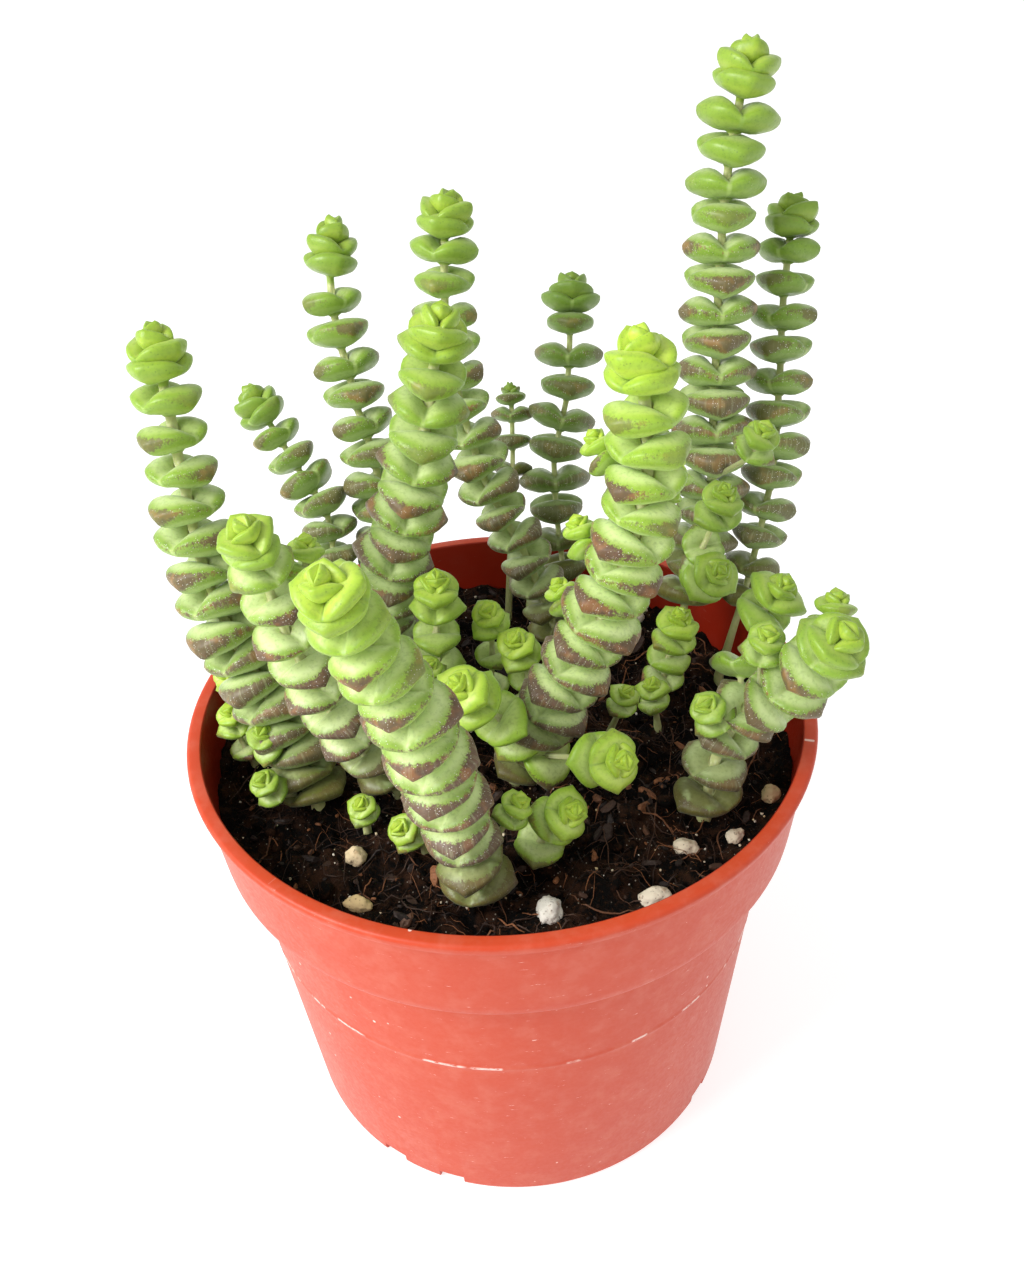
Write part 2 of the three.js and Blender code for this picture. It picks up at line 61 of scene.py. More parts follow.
# Edges of the pot: radii of the round ones, and rows of the others as steps out and up
BASE_ROUND = 0.9
LIP_ROUND = 0.7
THIN_ROUND = 0.35
MOULD_RING_ROWS = ((0, -1.2), (0, -0.35), (0.1, 0), (0, 0.35), (0, 1.2))
BODY_TOP_ROWS = ((-0.32, -4), (-0.13, -1.6), (0, -0.9), (0.35, -0.35), (1, -0.1))
COLLAR_FOOT_ROWS = ((-0.8, 0.1), (-0.25, 0.35), (0, 0.9), (0.15, 2))
SHARP_ANGLE = 35

# Drain notches: four pairs at the edge of the base
NOTCH_WIDTH = 4.7
NOTCH_HEIGHT = 2.4
NOTCH_REACH = 6
NOTCH_PAIRS = 4
NOTCH_PAIR_TURN = -117.3
NOTCH_SPREAD = 16.4

# Soil
SOIL_HEIGHT = 71
CLOD_HEIGHT = 0.9
SKIRT_DEPTH = 5
SOIL_RINGS = 84
SOIL_SIDES = 300
FOOT_DEPTH = 7
FOOT_TOP = 1

# Loose things on the soil: how many, and the seeds of their random draws
FIBRE_COUNT = 1000
FIBRE_SEED = 11
CHIP_COUNT = 760
CHIP_SEED = 23
CHIP_SIDES = 7
CRUMB_COUNT = 260
CRUMB_SEED = 37
GRIT_COUNT = 260
GRIT_SEED = 41

# Millimetres: radius of a stem where none is given, and half length of pairs up to which a shoot is small
THIN_STALK = 0.7
SMALL_HALF = 4.2

# A leaf pair: sizes are shares of its half length, from the stem to a leaf's tip, and folds are in degrees
STALK_SHARE = 0.3
PAIR_WIDTH = 0.84
PAIR_SHAPE = 1.05
BELLY_DEPTH = 0.5
CROWN_HEIGHT = 0.25
ARCH_HEIGHT = 0.12
BELLY_WAIST = 0.62
CROWN_WAIST = 0.4
FOLD_SOFTNESS = 0.2
OPEN_FOLD = 7
CROWN_POWERS = (2.6, 0.6)
BELLY_POWERS = (4, 0.55)
AIR_SHARE = 1.25

# The rosette at a tip: places over the last full pair, sizes, widths and folds of its leaf pairs
BUD_PLACES = (0.8, 1.1, 1.36, 1.57)
BUD_SIZES = (0.93, 0.9, 0.64, 0.42)
BUD_WIDTHS = (0.84, 0.84, 0.82, 0.8)
BUD_FOLDS = (14, 30, 52, 70)
BUD_ARCHES = (0.06, 0.03, 0, 0)
BUD_CUPS = (0, 0.15, 0.5, 0.8)
BUD_BELLIES = (0.48, 0.42, 0.44, 0.46)

# Shoots under SHOOT_HALF have a small closed bud in an open pair, and pointed leaves
SHOOT_HALF = 6
SHOOT_BUD_PLACES = (0.78, 1.04, 1.2, 1.34)
SHOOT_BUD_SIZES = (0.93, 0.6, 0.46, 0.32)
SHOOT_BUD_FOLDS = (14, 38, 58, 72)
SHOOT_TIP_POINT = 0.15

# How far the pairs differ from each other
SIZE_SPREAD = 0.05
TURN_SPREAD = 7
LEAN_SPREAD = 2.5

# What the fine leaves add to the plain ones: a pointed tip, a keel, a nick where two leaves meet, and
# differences between the two leaves of a pair
TIP_POINT = 0.1
TIP_SHARPNESS = 0.17
KEEL = 0.4
NICK_DEPTH = 0.1
NICK_WIDTH = 0.3
LEAF_LENGTH_SPREAD = 0.05
LEAF_FOLD_SPREAD = 4
LEAF_WAVE = 0.2
LEAF_WAVE_LENGTH = 3.5
LEAF_WAVE_SEED = 5
SLIM_STALK = 0.65

# Where a pair meets its stem: reach of its first ring in neck radii, share of that for the last ring at
# the tip, and how far the neck goes past the leaves
NECK_START = 1.6
TIP_START = 0.4
NECK_DROP = 0.15
NECK_RISE = 0.1

# A meridian runs from 0 at the stem on top, over the margin at 1, to 2 at the stem underneath
STALK_MERIDIAN = -1
NECK_MERIDIAN = 0.2

# Ages of the lowest pairs of shoots from the soil and from a stem. That of a main stem is 1.
SHOOT_AGE = 0.35
SIDE_SHOOT_AGE = 0.3

# The skin: points in a ring, and places of a leaf's rings from the stem to the margin
LEAF_SIDES = 32
SMALL_LEAF_SIDES = 24
RING_STEPS = (0, 0.2, 0.4, 0.58, 0.73, 0.85, 0.93, 0.98)


def sprig(half, first, turn, *path, pairs=1):
    """A small shoot that grows from a stem, measured like the stems below."""
    return dict(half=half, pairs=pairs, first=first, turn=turn, path=path)


# Stems and shoots from the soil, as in the part's source: path from the soil to the tip, half length of
# a full leaf pair, number of full pairs, height of the lowest, sizes of the lowest and the highest, and
# direction of the highest. stalk is the radius of the bare stem, rise stretches the rosette, spacing over
# 1 sets the lower pairs closer together, and tone (painted shade) is how much darker the leaves are
# painted, most on the stems at the back, as if less light reached them.
STEMS = [
    dict(name="stem_front_left", half=7, pairs=13, first=4, low=0.86, high=0.84, turn=-10, stalk=1.3,
         painted_shade=0.1, rise=0.93,
         path=[(-4, -34, 71), (-7, -36, 90.5), (-11, -40, 112.5), (-15.5, -43, 127), (-18.5, -46, 138)],
         shoots=[sprig(3.2, 6, 20, (-5, -34.5, 78), (-0.5, -31.5, 82.5), (3, -31, 89))]),
    dict(name="stem_front_right", half=7.1, pairs=15, first=4, low=0.9, high=0.92, turn=42, stalk=1.3,
         path=[(2, -8, 71), (9.5, -11.5, 92), (17, -13, 110), (22, -12.5, 129.5), (20.9, -10.3, 149)],
         shoots=[
             sprig(5.4, 5, 50, (4.5, -10, 79), (1.5, -14, 87.5), (-3.5, -18, 96), (-6.5, -21, 103), pairs=3),
             sprig(5.7, 7, 5, (3, -9, 75), (9, -15, 82), (13.5, -22, 87), (18.5, -29, 92.5), pairs=2),
             sprig(3.6, 7, 10, (17.5, -13, 113), (14, -7, 116.5), (12.5, -5.5, 120.5)),
             sprig(3.4, 6, 50, (13, -13, 101), (11, -6, 104.5), (9.5, -4, 108.5)),
             sprig(3.6, 7, 30, (21.5, -12.5, 126), (17, -6, 129.5), (15, -4, 133.5)),
             sprig(3.6, 7, 80, (21, -12.5, 121), (25.5, -6.5, 124.5), (28, -4.5, 128.5)),
         ]),
    dict(name="stem_centre", half=7, pairs=15, first=5, low=0.85, high=0.88, turn=86, stalk=1.2, painted_shade=0.3,
         spacing=1.12,
         path=[(-20, 15, 71), (-18.5, 11, 95.5), (-13.5, 8, 113), (-9, 6, 129.5), (-5.3, 5, 147.5)]),
    dict(name="stem_back_centre", half=6.5, pairs=15, first=5, low=0.85, high=0.92, turn=-22, stalk=1,
         painted_shade=0.4, rise=0.8,
         path=[(12, 27, 71), (6, 28, 91), (-1, 30, 107.5), (-5.5, 33, 128.5), (-5.5, 35.5, 142.5),
               (-4.4, 37.6, 153.2)]),
    dict(name="stem_back_left", half=7.1, pairs=13, first=6, low=0.85, high=0.86, turn=30, stalk=1,
         painted_shade=0.5, rise=1.3, spacing=1.06,
         path=[(-19, 25, 71), (-20, 33.5, 104.5), (-23, 39, 120), (-25.5, 44.5, 135.5),
               (-24.2, 48.4, 146.6)]),
    dict(name="stem_left", half=7.4, pairs=15, first=4, low=0.95, high=0.8, turn=-30, stalk=1.2, painted_shade=0.35,
         spacing=1.12,
         path=[(-31, -13, 71), (-34.5, -9.5, 86), (-40.5, -6.5, 101.5), (-43.5, -4, 114.5),
               (-44.5, -0.5, 130.5), (-45.2, 3.5, 147.5)],
         shoots=[
             sprig(3.4, 6, 35, (-31.5, -12.5, 74), (-36, -16.5, 77.5), (-38.5, -18, 83.5)),
             sprig(3.4, 5, 70, (-34, -10.5, 83), (-37, -13, 85), (-37.5, -14, 90)),
         ]),
    dict(name="stem_left_arching", half=6.2, pairs=8, first=14, low=0.8, high=0.9, turn=45, stalk=0.8,
         painted_shade=0.6, path=[(-30.2, 22, 71), (-29.4, 30.2, 98), (-34.2, 35.2, 108), (-41.5, 40.8, 120.5)]),
    dict(name="stem_left_second", half=6.1, pairs=9, first=6, low=0.85, high=0.85, turn=40, stalk=1,
         painted_shade=0.2,
         path=[(-18, -10, 71), (-25, -16, 93), (-29, -20, 111), (-30.5, -22, 123.5), (-31.5, -24, 132)],
         shoots=[sprig(3.6, 7, 30, (-28.5, -19.3, 109.2), (-26.5, -17.5, 117), (-25, -16, 126))]),
    dict(name="stem_right_tall", half=7.2, pairs=17, first=19, low=0.85, high=0.88, turn=0, stalk=1,
         painted_shade=0.4, rise=0.95,
         path=[(30, 14, 71), (37, 21, 105.5), (38, 26, 122.5), (38.5, 30.5, 140.5), (39.5, 34, 157),
               (42.3, 37.3, 173.4)],
         shoots=[
             sprig(4, 10, -35, (37, 22, 109), (39, 14.5, 115.5), (41.5, 11.5, 119), (43.5, 9.5, 126)),
             sprig(4.4, 12, 20, (35, 19, 96), (34.5, 10, 103), (36, 6.5, 112), (37, 5, 118), pairs=2),
             sprig(5, 12, 50, (34, 18, 90), (35, 12, 97), (35, 6, 100), (36.5, 1, 105), pairs=2),
         ]),
    dict(name="stem_right_back", half=6.6, pairs=12, first=17, low=0.85, high=0.86, turn=-40, stalk=0.9,
         painted_shade=0.6, rise=0.85,
         path=[(40, 15, 71), (45.6, 21, 92), (49.5, 28, 110.5), (51, 38, 134), (52.6, 43.4, 148.3)]),
    dict(name="stem_back_thin", half=6.6, pairs=9, first=12, low=0.9, high=0.87, turn=90, stalk=0.8,
         painted_shade=0.7, rise=0.82,
         path=[(14, 34, 71), (12, 43, 99), (15, 49, 114.5), (16.5, 55.9, 132.2)]),
    dict(name="stem_back_small", half=4.3, pairs=3, first=30, low=0.9, high=0.9, turn=-10, painted_shade=0.6,
         path=[(2, 38, 71), (4, 45, 97), (4.5, 49, 107), (4.5, 52, 115)]),
    dict(name="stem_right", half=6.4, pairs=7, first=4, low=0.95, high=0.95, turn=40, stalk=1.3, painted_shade=0.35,
         path=[(32, -19, 71), (33.5, -18.5, 83), (37.5, -19, 93), (41.5, -23, 99), (47, -30, 114.5)],
         shoots=[
             sprig(3.8, 7, 20, (35, -19, 88), (32.5, -20, 92), (30, -21, 97)),
             sprig(5.2, 7, 60, (36.5, -18.5, 92), (37.5, -13, 97), (39, -11, 102), (43.5, -12.5, 112),
                   pairs=2),
             sprig(4, 10, 10, (44, -25.5, 104), (48, -19.5, 107), (49.5, -17, 113)),
             sprig(3.6, 9, -20, (39, -20, 95.5), (38, -22, 104), (38.5, -23.5, 111.5)),
         ]),
    dict(name="shoot_centre", half=5, pairs=4, first=10, turn=0, stalk=0.8, painted_shade=0.2,
         path=[(-11, 5, 71), (-10, 3, 92.5), (-9, 1, 107)],
         shoots=[sprig(2.8, 5, 30, (-10.5, 4, 84), (-11, -1.2, 87.8), (-11, -3.9, 93.3))]),
    dict(name="shoot_middle_left", half=3.8, pairs=3, first=6, turn=30,
         path=[(-2, 9.5, 71), (-1, 8, 88), (-1.5, 6, 97)]),
    dict(name="shoot_middle_right", half=4.2, pairs=3, first=5, turn=50,
         path=[(6, 6, 71), (4.5, 4, 85), (2.5, 1.5, 94)]),
    dict(name="shoot_front", half=5, pairs=2, first=4, turn=-15, stalk=0.8,
         path=[(5, -27, 71), (5.5, -28, 77), (7.5, -29, 81.5), (11, -32, 86.5)]),
    dict(name="shoot_front_low", half=3.5, first=3.5, turn=40,
         path=[(-13, -24, 71), (-14.5, -24.5, 75), (-17, -26.5, 79.5)]),
    dict(name="shoot_left_low", half=3.1, first=3, turn=60,
         path=[(-22.5, -19, 71), (-22.5, -19, 75), (-23, -20, 79)]),
    dict(name="shoot_left_wall", half=3.4, pairs=2, first=4, turn=30,
         path=[(-43, -2, 71), (-44.5, -2, 78), (-45.5, -2, 85)]),
    dict(name="shoot_left_rim", half=3.3, pairs=2, first=6, turn=20,
         path=[(-42, 9, 71), (-44.5, 7, 80), (-47, 4, 88)]),
    dict(name="shoot_right_middle", half=4.9, pairs=3, first=5, low=0.92, turn=30,
         path=[(28, 10, 71), (30, 9.9, 82), (31.5, 8.8, 92)]),
    dict(name="shoot_right_low", half=3.6, first=5, turn=70,
         path=[(27.1, 1.9, 71), (26.6, 2.7, 76), (25.6, 3.1, 82)]),
    dict(name="shoot_right_bare", half=3.2, first=10, turn=45,
         path=[(17.5, -1.5, 71), (19.5, -4, 80), (21, -5, 87)]),
]

# Pumice and perlite lumps: place, half sizes, turn and how yellow they are
LUMP_RISE = 0.3
LUMPS = [
    dict(name="perlite_front", at=(6, -38), size=(2.1, 3, 1.9), turn=-10, stain=0.1),
    dict(name="pumice_front_right", at=(22, -36), size=(2.7, 2, 1.6), turn=15, stain=0.4),
    dict(name="pumice_right", at=(28, -26.5), size=(2.2, 1.7, 1.5), turn=0, stain=0.5),
    dict(name="pumice_right_pink", at=(36, -24.5), size=(1.8, 1.4, 1.2), turn=40, stain=0.5),
    dict(name="pumice_right_wall", at=(43.5, -15.5), size=(2.2, 1.6, 1.4), turn=60, stain=0.9),
    dict(name="pumice_left", at=(-24, -25), size=(1.9, 1.8, 1.7), turn=20, stain=0.8),
    dict(name="pumice_front_left", at=(-23, -34.5), size=(2.4, 1.6, 1.3), turn=-15, stain=1),
    dict(name="pumice_middle", at=(-13, -8.5), size=(2, 1.6, 1.4), turn=25, stain=0.4),
    dict(name="pumice_back_left", at=(-10, 41), size=(2.3, 1.7, 1.4), turn=50, stain=0.5),
    dict(name="perlite_back_right", at=(27, 36), size=(2, 1.8, 1.5), turn=-30, stain=0.2),
]


def jitter(seed, step):
    """A number from -1 to 1 that is always the same for the same two seeds."""
    value = sin(seed * 12.9898 + step * 78.233) * 43758.5453
    return 2 * (value - floor(value)) - 1


def lerp(a, b, share):
    return a + (b - a) * share


def smoothstep(low, high, value):
    share = np.clip((value - low) / (high - low), 0, 1)
    return share * share * (3 - 2 * share)


class StemCurve:
    """The smooth curve through a stem's points, measured along its length."""

    DIVISIONS = 200
    TANGENT_STEP = 0.0001

    def __init__(self, path):
        self.points = [np.array(point, float) for point in path]
        marks = [self.at(i / self.DIVISIONS) for i in range(self.DIVISIONS + 1)]
        steps = [np.linalg.norm(b - a) for a, b in zip(marks, marks[1:])]
        self.lengths = np.concatenate([[0], np.cumsum(steps)])
        self.length = self.lengths[-1]

    def at(self, t):
        points = self.points
        last = len(points) - 1
        index = min(int(t * last), last - 1)
        weight = t * last - index
        start, end = points[index], points[index + 1]
        before = points[index - 1] if index > 0 else 2 * start - end
        after = points[index + 2] if index + 2 <= last else 2 * end - start
        leave, arrive = (end - before) / 2, (after - start) / 2
        return (start + leave * weight
                + (3 * (end - start) - 2 * leave - arrive) * weight ** 2
                + (2 * (start - end) + leave + arrive) * weight ** 3)

    def parameter(self, share):
        return np.interp(share * self.length, self.lengths, np.linspace(0, 1, self.DIVISIONS + 1))

    def place(self, share):
        return self.at(self.parameter(share))

    def direction(self, share):
        t = self.parameter(share)
        low, high = max(0, t - self.TANGENT_STEP), min(1, t + self.TANGENT_STEP)
        step = self.at(high) - self.at(low)
        return step / np.linalg.norm(step)


def pair_frame(curve, share, lean, lean_turn):
    """The frame of a leaf pair: its place on the stem's curve, and axes with z along the stem."""
    up = curve.direction(share)
    right = np.array([1, 0, 0]) - up * up[0]
    right /= np.linalg.norm(right)
    back = np.cross(up, right)
    axes = Matrix(np.column_stack([right, back, up]).tolist()).to_4x4()
    tip = Vector((cos(lean_turn), sin(lean_turn), 0))
    turned = axes @ Matrix.Rotation(lean, 4, tip)
    return np.array(turned.to_3x3()), curve.place(share)


def list_pairs(stem, length, seed):
    """The leaf pairs of a stem, from the lowest to the middle of the rosette."""
    half = stem["half"]
    count = stem.get("pairs", 1)
    high = stem.get("high", 1)
    tip_half = half * high
    rise = tip_half * stem.get("rise", 1)
    top = length - BUD_PLACES[-1] * rise
    pairs = []
    for i in range(count):
        share = i / (count - 1) if count > 1 else 1
        if share < 0.5:
            size = lerp(stem.get("low", 1), 1, 2 * share)
        else:
            size = lerp(1, high, 2 * share - 1)
        height = lerp(stem["first"], top, share ** stem.get("spacing", 1))
        pairs.append(dict(height=height, width=PAIR_WIDTH, fold=OPEN_FOLD,
                          half=half * size * (1 + SIZE_SPREAD * jitter(seed, i)),
                          arch=ARCH_HEIGHT, cup=0, belly=BELLY_DEPTH, bud=0))
    buds = len(BUD_PLACES) if half > SMALL_HALF else len(BUD_PLACES) - 1
    is_shoot = half < SHOOT_HALF
    places, sizes, folds = BUD_PLACES, BUD_SIZES, BUD_FOLDS
    if is_shoot:
        places, sizes, folds = SHOOT_BUD_PLACES, SHOOT_BUD_SIZES, SHOOT_BUD_FOLDS
    for bud in range(buds):
        pairs.append(dict(height=top + places[bud] * rise, half=sizes[bud] * tip_half,
                          width=BUD_WIDTHS[bud], fold=folds[bud], arch=BUD_ARCHES[bud],
                          cup=BUD_CUPS[bud], belly=BUD_BELLIES[bud], bud=bud + 1))
    # Each difference has its own steps of jitter, 50 apart
    for i, pair in enumerate(pairs):
        pair["quarter_turns"] = count - 1 - i
        pair["turn"] = radians(stem["turn"] + 90 * pair["quarter_turns"]
                               + TURN_SPREAD * jitter(seed, i + 50))
        pair["lean"] = radians(LEAN_SPREAD * jitter(seed, i + 100))
        pair["lean_turn"] = pi * jitter(seed, i + 150)
        upper = max(i, 1)
        room = pairs[upper]["height"] - pairs[upper - 1]["height"]
        needed = (BELLY_DEPTH + CROWN_HEIGHT) * pair["half"]
        thickness = 1 if pair["bud"] > 1 else min(1, AIR_SHARE * room / needed)
        pair["belly"] *= pair["half"] * thickness
        pair["crown"] = CROWN_HEIGHT * pair["half"] * thickness
        pair["arch"] *= pair["half"]
        pair["point"] = SHOOT_TIP_POINT if is_shoot else TIP_POINT
        pair["chance"] = jitter(seed, i + 200)
        pair["lengths"] = [1 + LEAF_LENGTH_SPREAD * jitter(seed, i + step) for step in (250, 300)]
        pair["folds"] = [LEAF_FOLD_SPREAD * jitter(seed, i + step) for step in (350, 400)]
    return pairs


def leaf_ring(pair, reach, around, face):
    """One ring of points of a leaf pair, with the stem along z and the leaves along x.

    reach runs from 0 at the stem to 1 at the margin, around is the turn about the stem, and face is 1
    on top, -1 underneath and 0 on the margin.
    """
    half = pair["half"]
    cosine, sine = np.cos(around), np.sin(around)
    first = cosine > 0
    length = np.where(first, pair["lengths"][0], pair["lengths"][1])
    fold = np.radians(pair["fold"] + np.where(first, pair["folds"][0], pair["folds"][1]))
    point = pair["point"] * np.exp(-np.abs(sine) / TIP_SHARPNESS) * np.sign(cosine) * reach ** 4
    outline = (cosine + point) / (1 + pair["point"])
    along = half * reach * outline * (1 + (length - 1) * np.abs(cosine))
    nick = 1 - NICK_DEPTH * np.exp(-(cosine / NICK_WIDTH) ** 2) * reach ** 3
    across = half * pair["width"] * reach * np.sign(sine) * np.abs(sine) ** PAIR_SHAPE * nick
    softness = FOLD_SOFTNESS * half
    distance = np.hypot(along, softness)
    share = np.abs(along) / half
    lobe = np.sin(np.minimum(1, 2 * share) * pi / 2)
    if face > 0:
        plump = CROWN_WAIST + (1 - CROWN_WAIST) * lobe
        depth = pair["crown"] * plump * (1 - reach ** CROWN_POWERS[0]) ** CROWN_POWERS[1]
    else:
        plump = BELLY_WAIST + (1 - BELLY_WAIST) * lobe
        keel = 1 - KEEL * np.abs(across) / (half * pair["width"])
        depth = face * pair["belly"] * plump * keel * (1 - reach ** BELLY_POWERS[0]) ** BELLY_POWERS[1]
    depth = depth + 4 * pair["arch"] * share * (1 - share) + pair["cup"] * share * across ** 2 / half
    tilt = fold * along / distance
    return np.column_stack([
        along * np.cos(fold) - np.sin(tilt) * depth,
        across,
        (distance - softness) * np.sin(fold) + np.cos(tilt) * depth,
    ])


class Skin:
    """Rings of points that grow into one mesh, with what its material reads at each point."""

    def __init__(self):
        self.points = []
        self.faces = []
        self.rims = []
        self.growths_and_shades = []
        self.below = None

    def add(self, ring, rim, growth_and_shade):
        sides = len(ring)
        first = len(self.points)
        self.points.extend(ring.tolist())
        self.rims.extend(rim.tolist())
        self.growths_and_shades.extend([growth_and_shade] * sides)
        if self.below is None:
            self.faces.append(tuple(reversed(range(first, first + sides))))
        else:
            for i in range(sides):
                j = (i + 1) % sides
                self.faces.append((self.below + i, self.below + j, first + j, first + i))
        self.below = first

    def close(self, sides):
        self.faces.append(tuple(range(self.below, self.below + sides)))


def wave(points):
    """Points moved a little by smooth noise, so that no two leaves are alike."""
    moves = [noise.noise_vector(Vector(point) / LEAF_WAVE_LENGTH) * LEAF_WAVE for point in points]
    return points + np.array(moves)


def circle(around, radius, height):
    """A ring of points about the z axis."""
    return np.column_stack([radius * np.cos(around), radius * np.sin(around), np.full(len(around), height)])


def grow_stem(skin, stem, seed, foot, painted_shade, oldest):
    """Adds one leafy stem to a skin, ring by ring from its foot to its tip.

    A pair's age runs from 0 in the rosette's middle to oldest for the lowest pair.
    """
    curve = StemCurve(stem["path"])
    pairs = list_pairs(stem, curve.length, seed)
    sides = LEAF_SIDES if stem["half"] > SMALL_HALF else SMALL_LEAF_SIDES
    spread = np.arange(sides) * 2 * pi / sides
    stalk = stem.get("stalk", THIN_STALK)
    stalk_rim = circle(spread, 1, STALK_MERIDIAN)
    leaf_rim = circle(spread, 1, NECK_MERIDIAN)
    base = np.array(stem["path"][0], float)
    foot_turn = radians(stem["turn"])
    skin.below = None
    for height in (-FOOT_DEPTH, FOOT_TOP) if foot else (0,):
        skin.add(circle(spread + foot_turn, stalk, height) + base, stalk_rim, (1, 0, painted_shade))
    for i, pair in enumerate(pairs):
        share = min(1, pair["height"] / curve.length)
        axes, place = pair_frame(curve, share, pair["lean"], pair["lean_turn"])
        width = pair["half"] * pair["width"]
        neck = SLIM_STALK * min(stalk, STALK_SHARE * width)
        quarter = pair["quarter_turns"] * pi / 2
        unturned = pair["turn"] - quarter
        around = spread - quarter
        age = oldest * ((len(pairs) - 1 - i) / (len(pairs) - 1))
        growth_and_shade = (age, pair["chance"], painted_shade)
        spin = np.array(Matrix.Rotation(pair["turn"], 3, "Z"))
        start = NECK_START * neck / width
        neck_rim = leaf_rim if pair["bud"] else stalk_rim

        def add_neck(height):
            skin.add(circle(spread + unturned, neck, height) @ axes.T + place, neck_rim, growth_and_shade)

        def add_leaf(reach, face):
            ring = leaf_ring(pair, reach, around, face) @ spin.T @ axes.T + place
            skin.add(wave(ring), circle(around, 1, reach if face > 0 else 2 - reach), growth_and_shade)

        add_neck(-pair["belly"] * (BELLY_WAIST + NECK_DROP))
        for step in RING_STEPS:
            add_leaf(lerp(start, 1, step), -1)
        add_leaf(1, 0)
        for step in reversed(RING_STEPS[1:]):
            add_leaf(lerp(start, 1, step), 1)
        if i < len(pairs) - 1:
            add_leaf(start, 1)
            add_neck(pair["crown"] * CROWN_WAIST + NECK_RISE)
        else:
            add_leaf(start * TIP_START, 1)
            skin.close(sides)


def make_object(name, points, faces, smooth=True):
    mesh = bpy.data.meshes.new(name)
    mesh.from_pydata((np.array(points) * MM).tolist(), [], faces)
    mesh.validate()
    if smooth:
        mesh.shade_smooth()
    else:
        mesh.shade_flat()
    piece = bpy.data.objects.new(name, mesh)
    bpy.context.collection.objects.link(piece)
    return piece


def give_vectors(piece, name, values):
    """Stores one vector per point, for the material to read."""
    attribute = piece.data.attributes.new(name, "FLOAT_VECTOR", "POINT")
    attribute.data.foreach_set("vector", np.array(values, float).ravel())


def seat(piece, material, slot, *nodes):
    """Gives a piece its material and its body, and hides the part's nodes that it stands for."""
    piece.data.materials.append(material)
    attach(piece, "root")
    if nodes:
        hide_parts(*nodes)


def make_plant(material):
    noise.seed_set(LEAF_WAVE_SEED)
    for number, stem in enumerate(STEMS, 1):
        skin = Skin()
        painted_shade = stem.get("painted_shade", 0)
        is_shoot = stem["name"].startswith("shoot")
        grow_stem(skin, stem, number, True, painted_shade, SHOOT_AGE if is_shoot else 1)
        for i, shoot in enumerate(stem.get("shoots", []), 1):
            grow_stem(skin, shoot, 10 * number + i, False, painted_shade, SIDE_SHOOT_AGE)
        piece = make_object("leafy_" + stem["name"], skin.points, skin.faces)
        give_vectors(piece, "rim", skin.rims)
        give_vectors(piece, "growth_and_shade", skin.growths_and_shades)
        seat(piece, material, "leaf", stem["name"])


class Graph:
    """The nodes of one material, made and joined by short calls."""

    def __init__(self, name):
        self.material = bpy.data.materials.new(name)
        self.material.use_nodes = True
        self.tree = self.material.node_tree
        self.shader = self.tree.nodes["Principled BSDF"]

    def put(self, socket, value):
        if isinstance(value, bpy.types.NodeSocket):
            self.tree.links.new(value, socket)
        else:
            socket.default_value = value

    def node(self, kind, inputs=None, **settings):
        node = self.tree.nodes.new("ShaderNode" + kind)
        for name, value in settings.items():
            setattr(node, name, value)
        for name, value in (inputs or {}).items():
            self.put(node.inputs[name], value)
        return node

    def set(self, **inputs):
        """Sets sockets of the shader, with _ for the space in their names."""
        for name, value in inputs.items():
            self.put(self.shader.inputs[name.replace("_", " ")], value)

    def math(self, operation, first, second=0.0):
        return self.node("Math", {0: first, 1: second}, operation=operation).outputs[0]

    def plus(self, first, second):
        return self.math("ADD", first, second)

    def minus(self, first, second):
        return self.math("SUBTRACT", first, second)

    def times(self, first, second):
        return self.math("MULTIPLY", first, second)

    def window(self, value, low, high, start=0.0, end=1.0):
        """start where value is at low, end where it is at high, and smooth between."""
        return self.node("MapRange", {"Value": value, "From Min": low, "From Max": high,
                                      "To Min": start, "To Max": end},
                         interpolation_type="SMOOTHSTEP").outputs["Result"]

    def mix(self, share, first, second):
        """Mixes two colours, each a socket or its screen values, 0 to 255."""
        node = self.node("Mix", data_type="RGBA")
        for index, value in ((0, share), (6, first), (7, second)):
            self.put(node.inputs[index], colour(*value) if isinstance(value, tuple) else value)
        return node.outputs[2]

    def place(self):
        """Object coordinates in millimetres."""
        source = self.node("TexCoord").outputs["Object"]
        return self.scaled(source, (1 / MM,) * 3)

    def scaled(self, vector, factors):
        return self.node("VectorMath", {0: vector, 1: factors}, operation="MULTIPLY").outputs[0]

    def parts(self, vector):
        return self.node("SeparateXYZ", {"Vector": vector}).outputs

    def joined(self, x, y, z):
        return self.node("CombineXYZ", {"X": x, "Y": y, "Z": z}).outputs[0]

    def attribute(self, name):
        return self.node("Attribute", attribute_name=name).outputs["Vector"]

    def noise(self, vector, scale, detail=2.0, roughness=0.5):
        return self.node("TexNoise", {"Vector": vector, "Scale": scale, "Detail": detail,
                                      "Roughness": roughness}).outputs["Fac"]

    def cells(self, vector, scale):
        """Distance to the nearest of many scattered points."""
        return self.node("TexVoronoi", {"Vector": vector, "Scale": scale}).outputs["Distance"]

    def bump(self, height, strength, distance):
        """A bump from a height, over distance millimetres."""
        return self.node("Bump", {"Height": height, "Strength": strength,
                                  "Distance": distance * MM}).outputs["Normal"]


def colour(red, green, blue):
    """A colour from its screen values, 0 to 255."""
    def linear(value):
        share = value / 255
        return share / 12.92 if share <= 0.04045 else ((share + 0.055) / 1.055) ** 2.4
    return (linear(red), linear(green), linear(blue), 1)


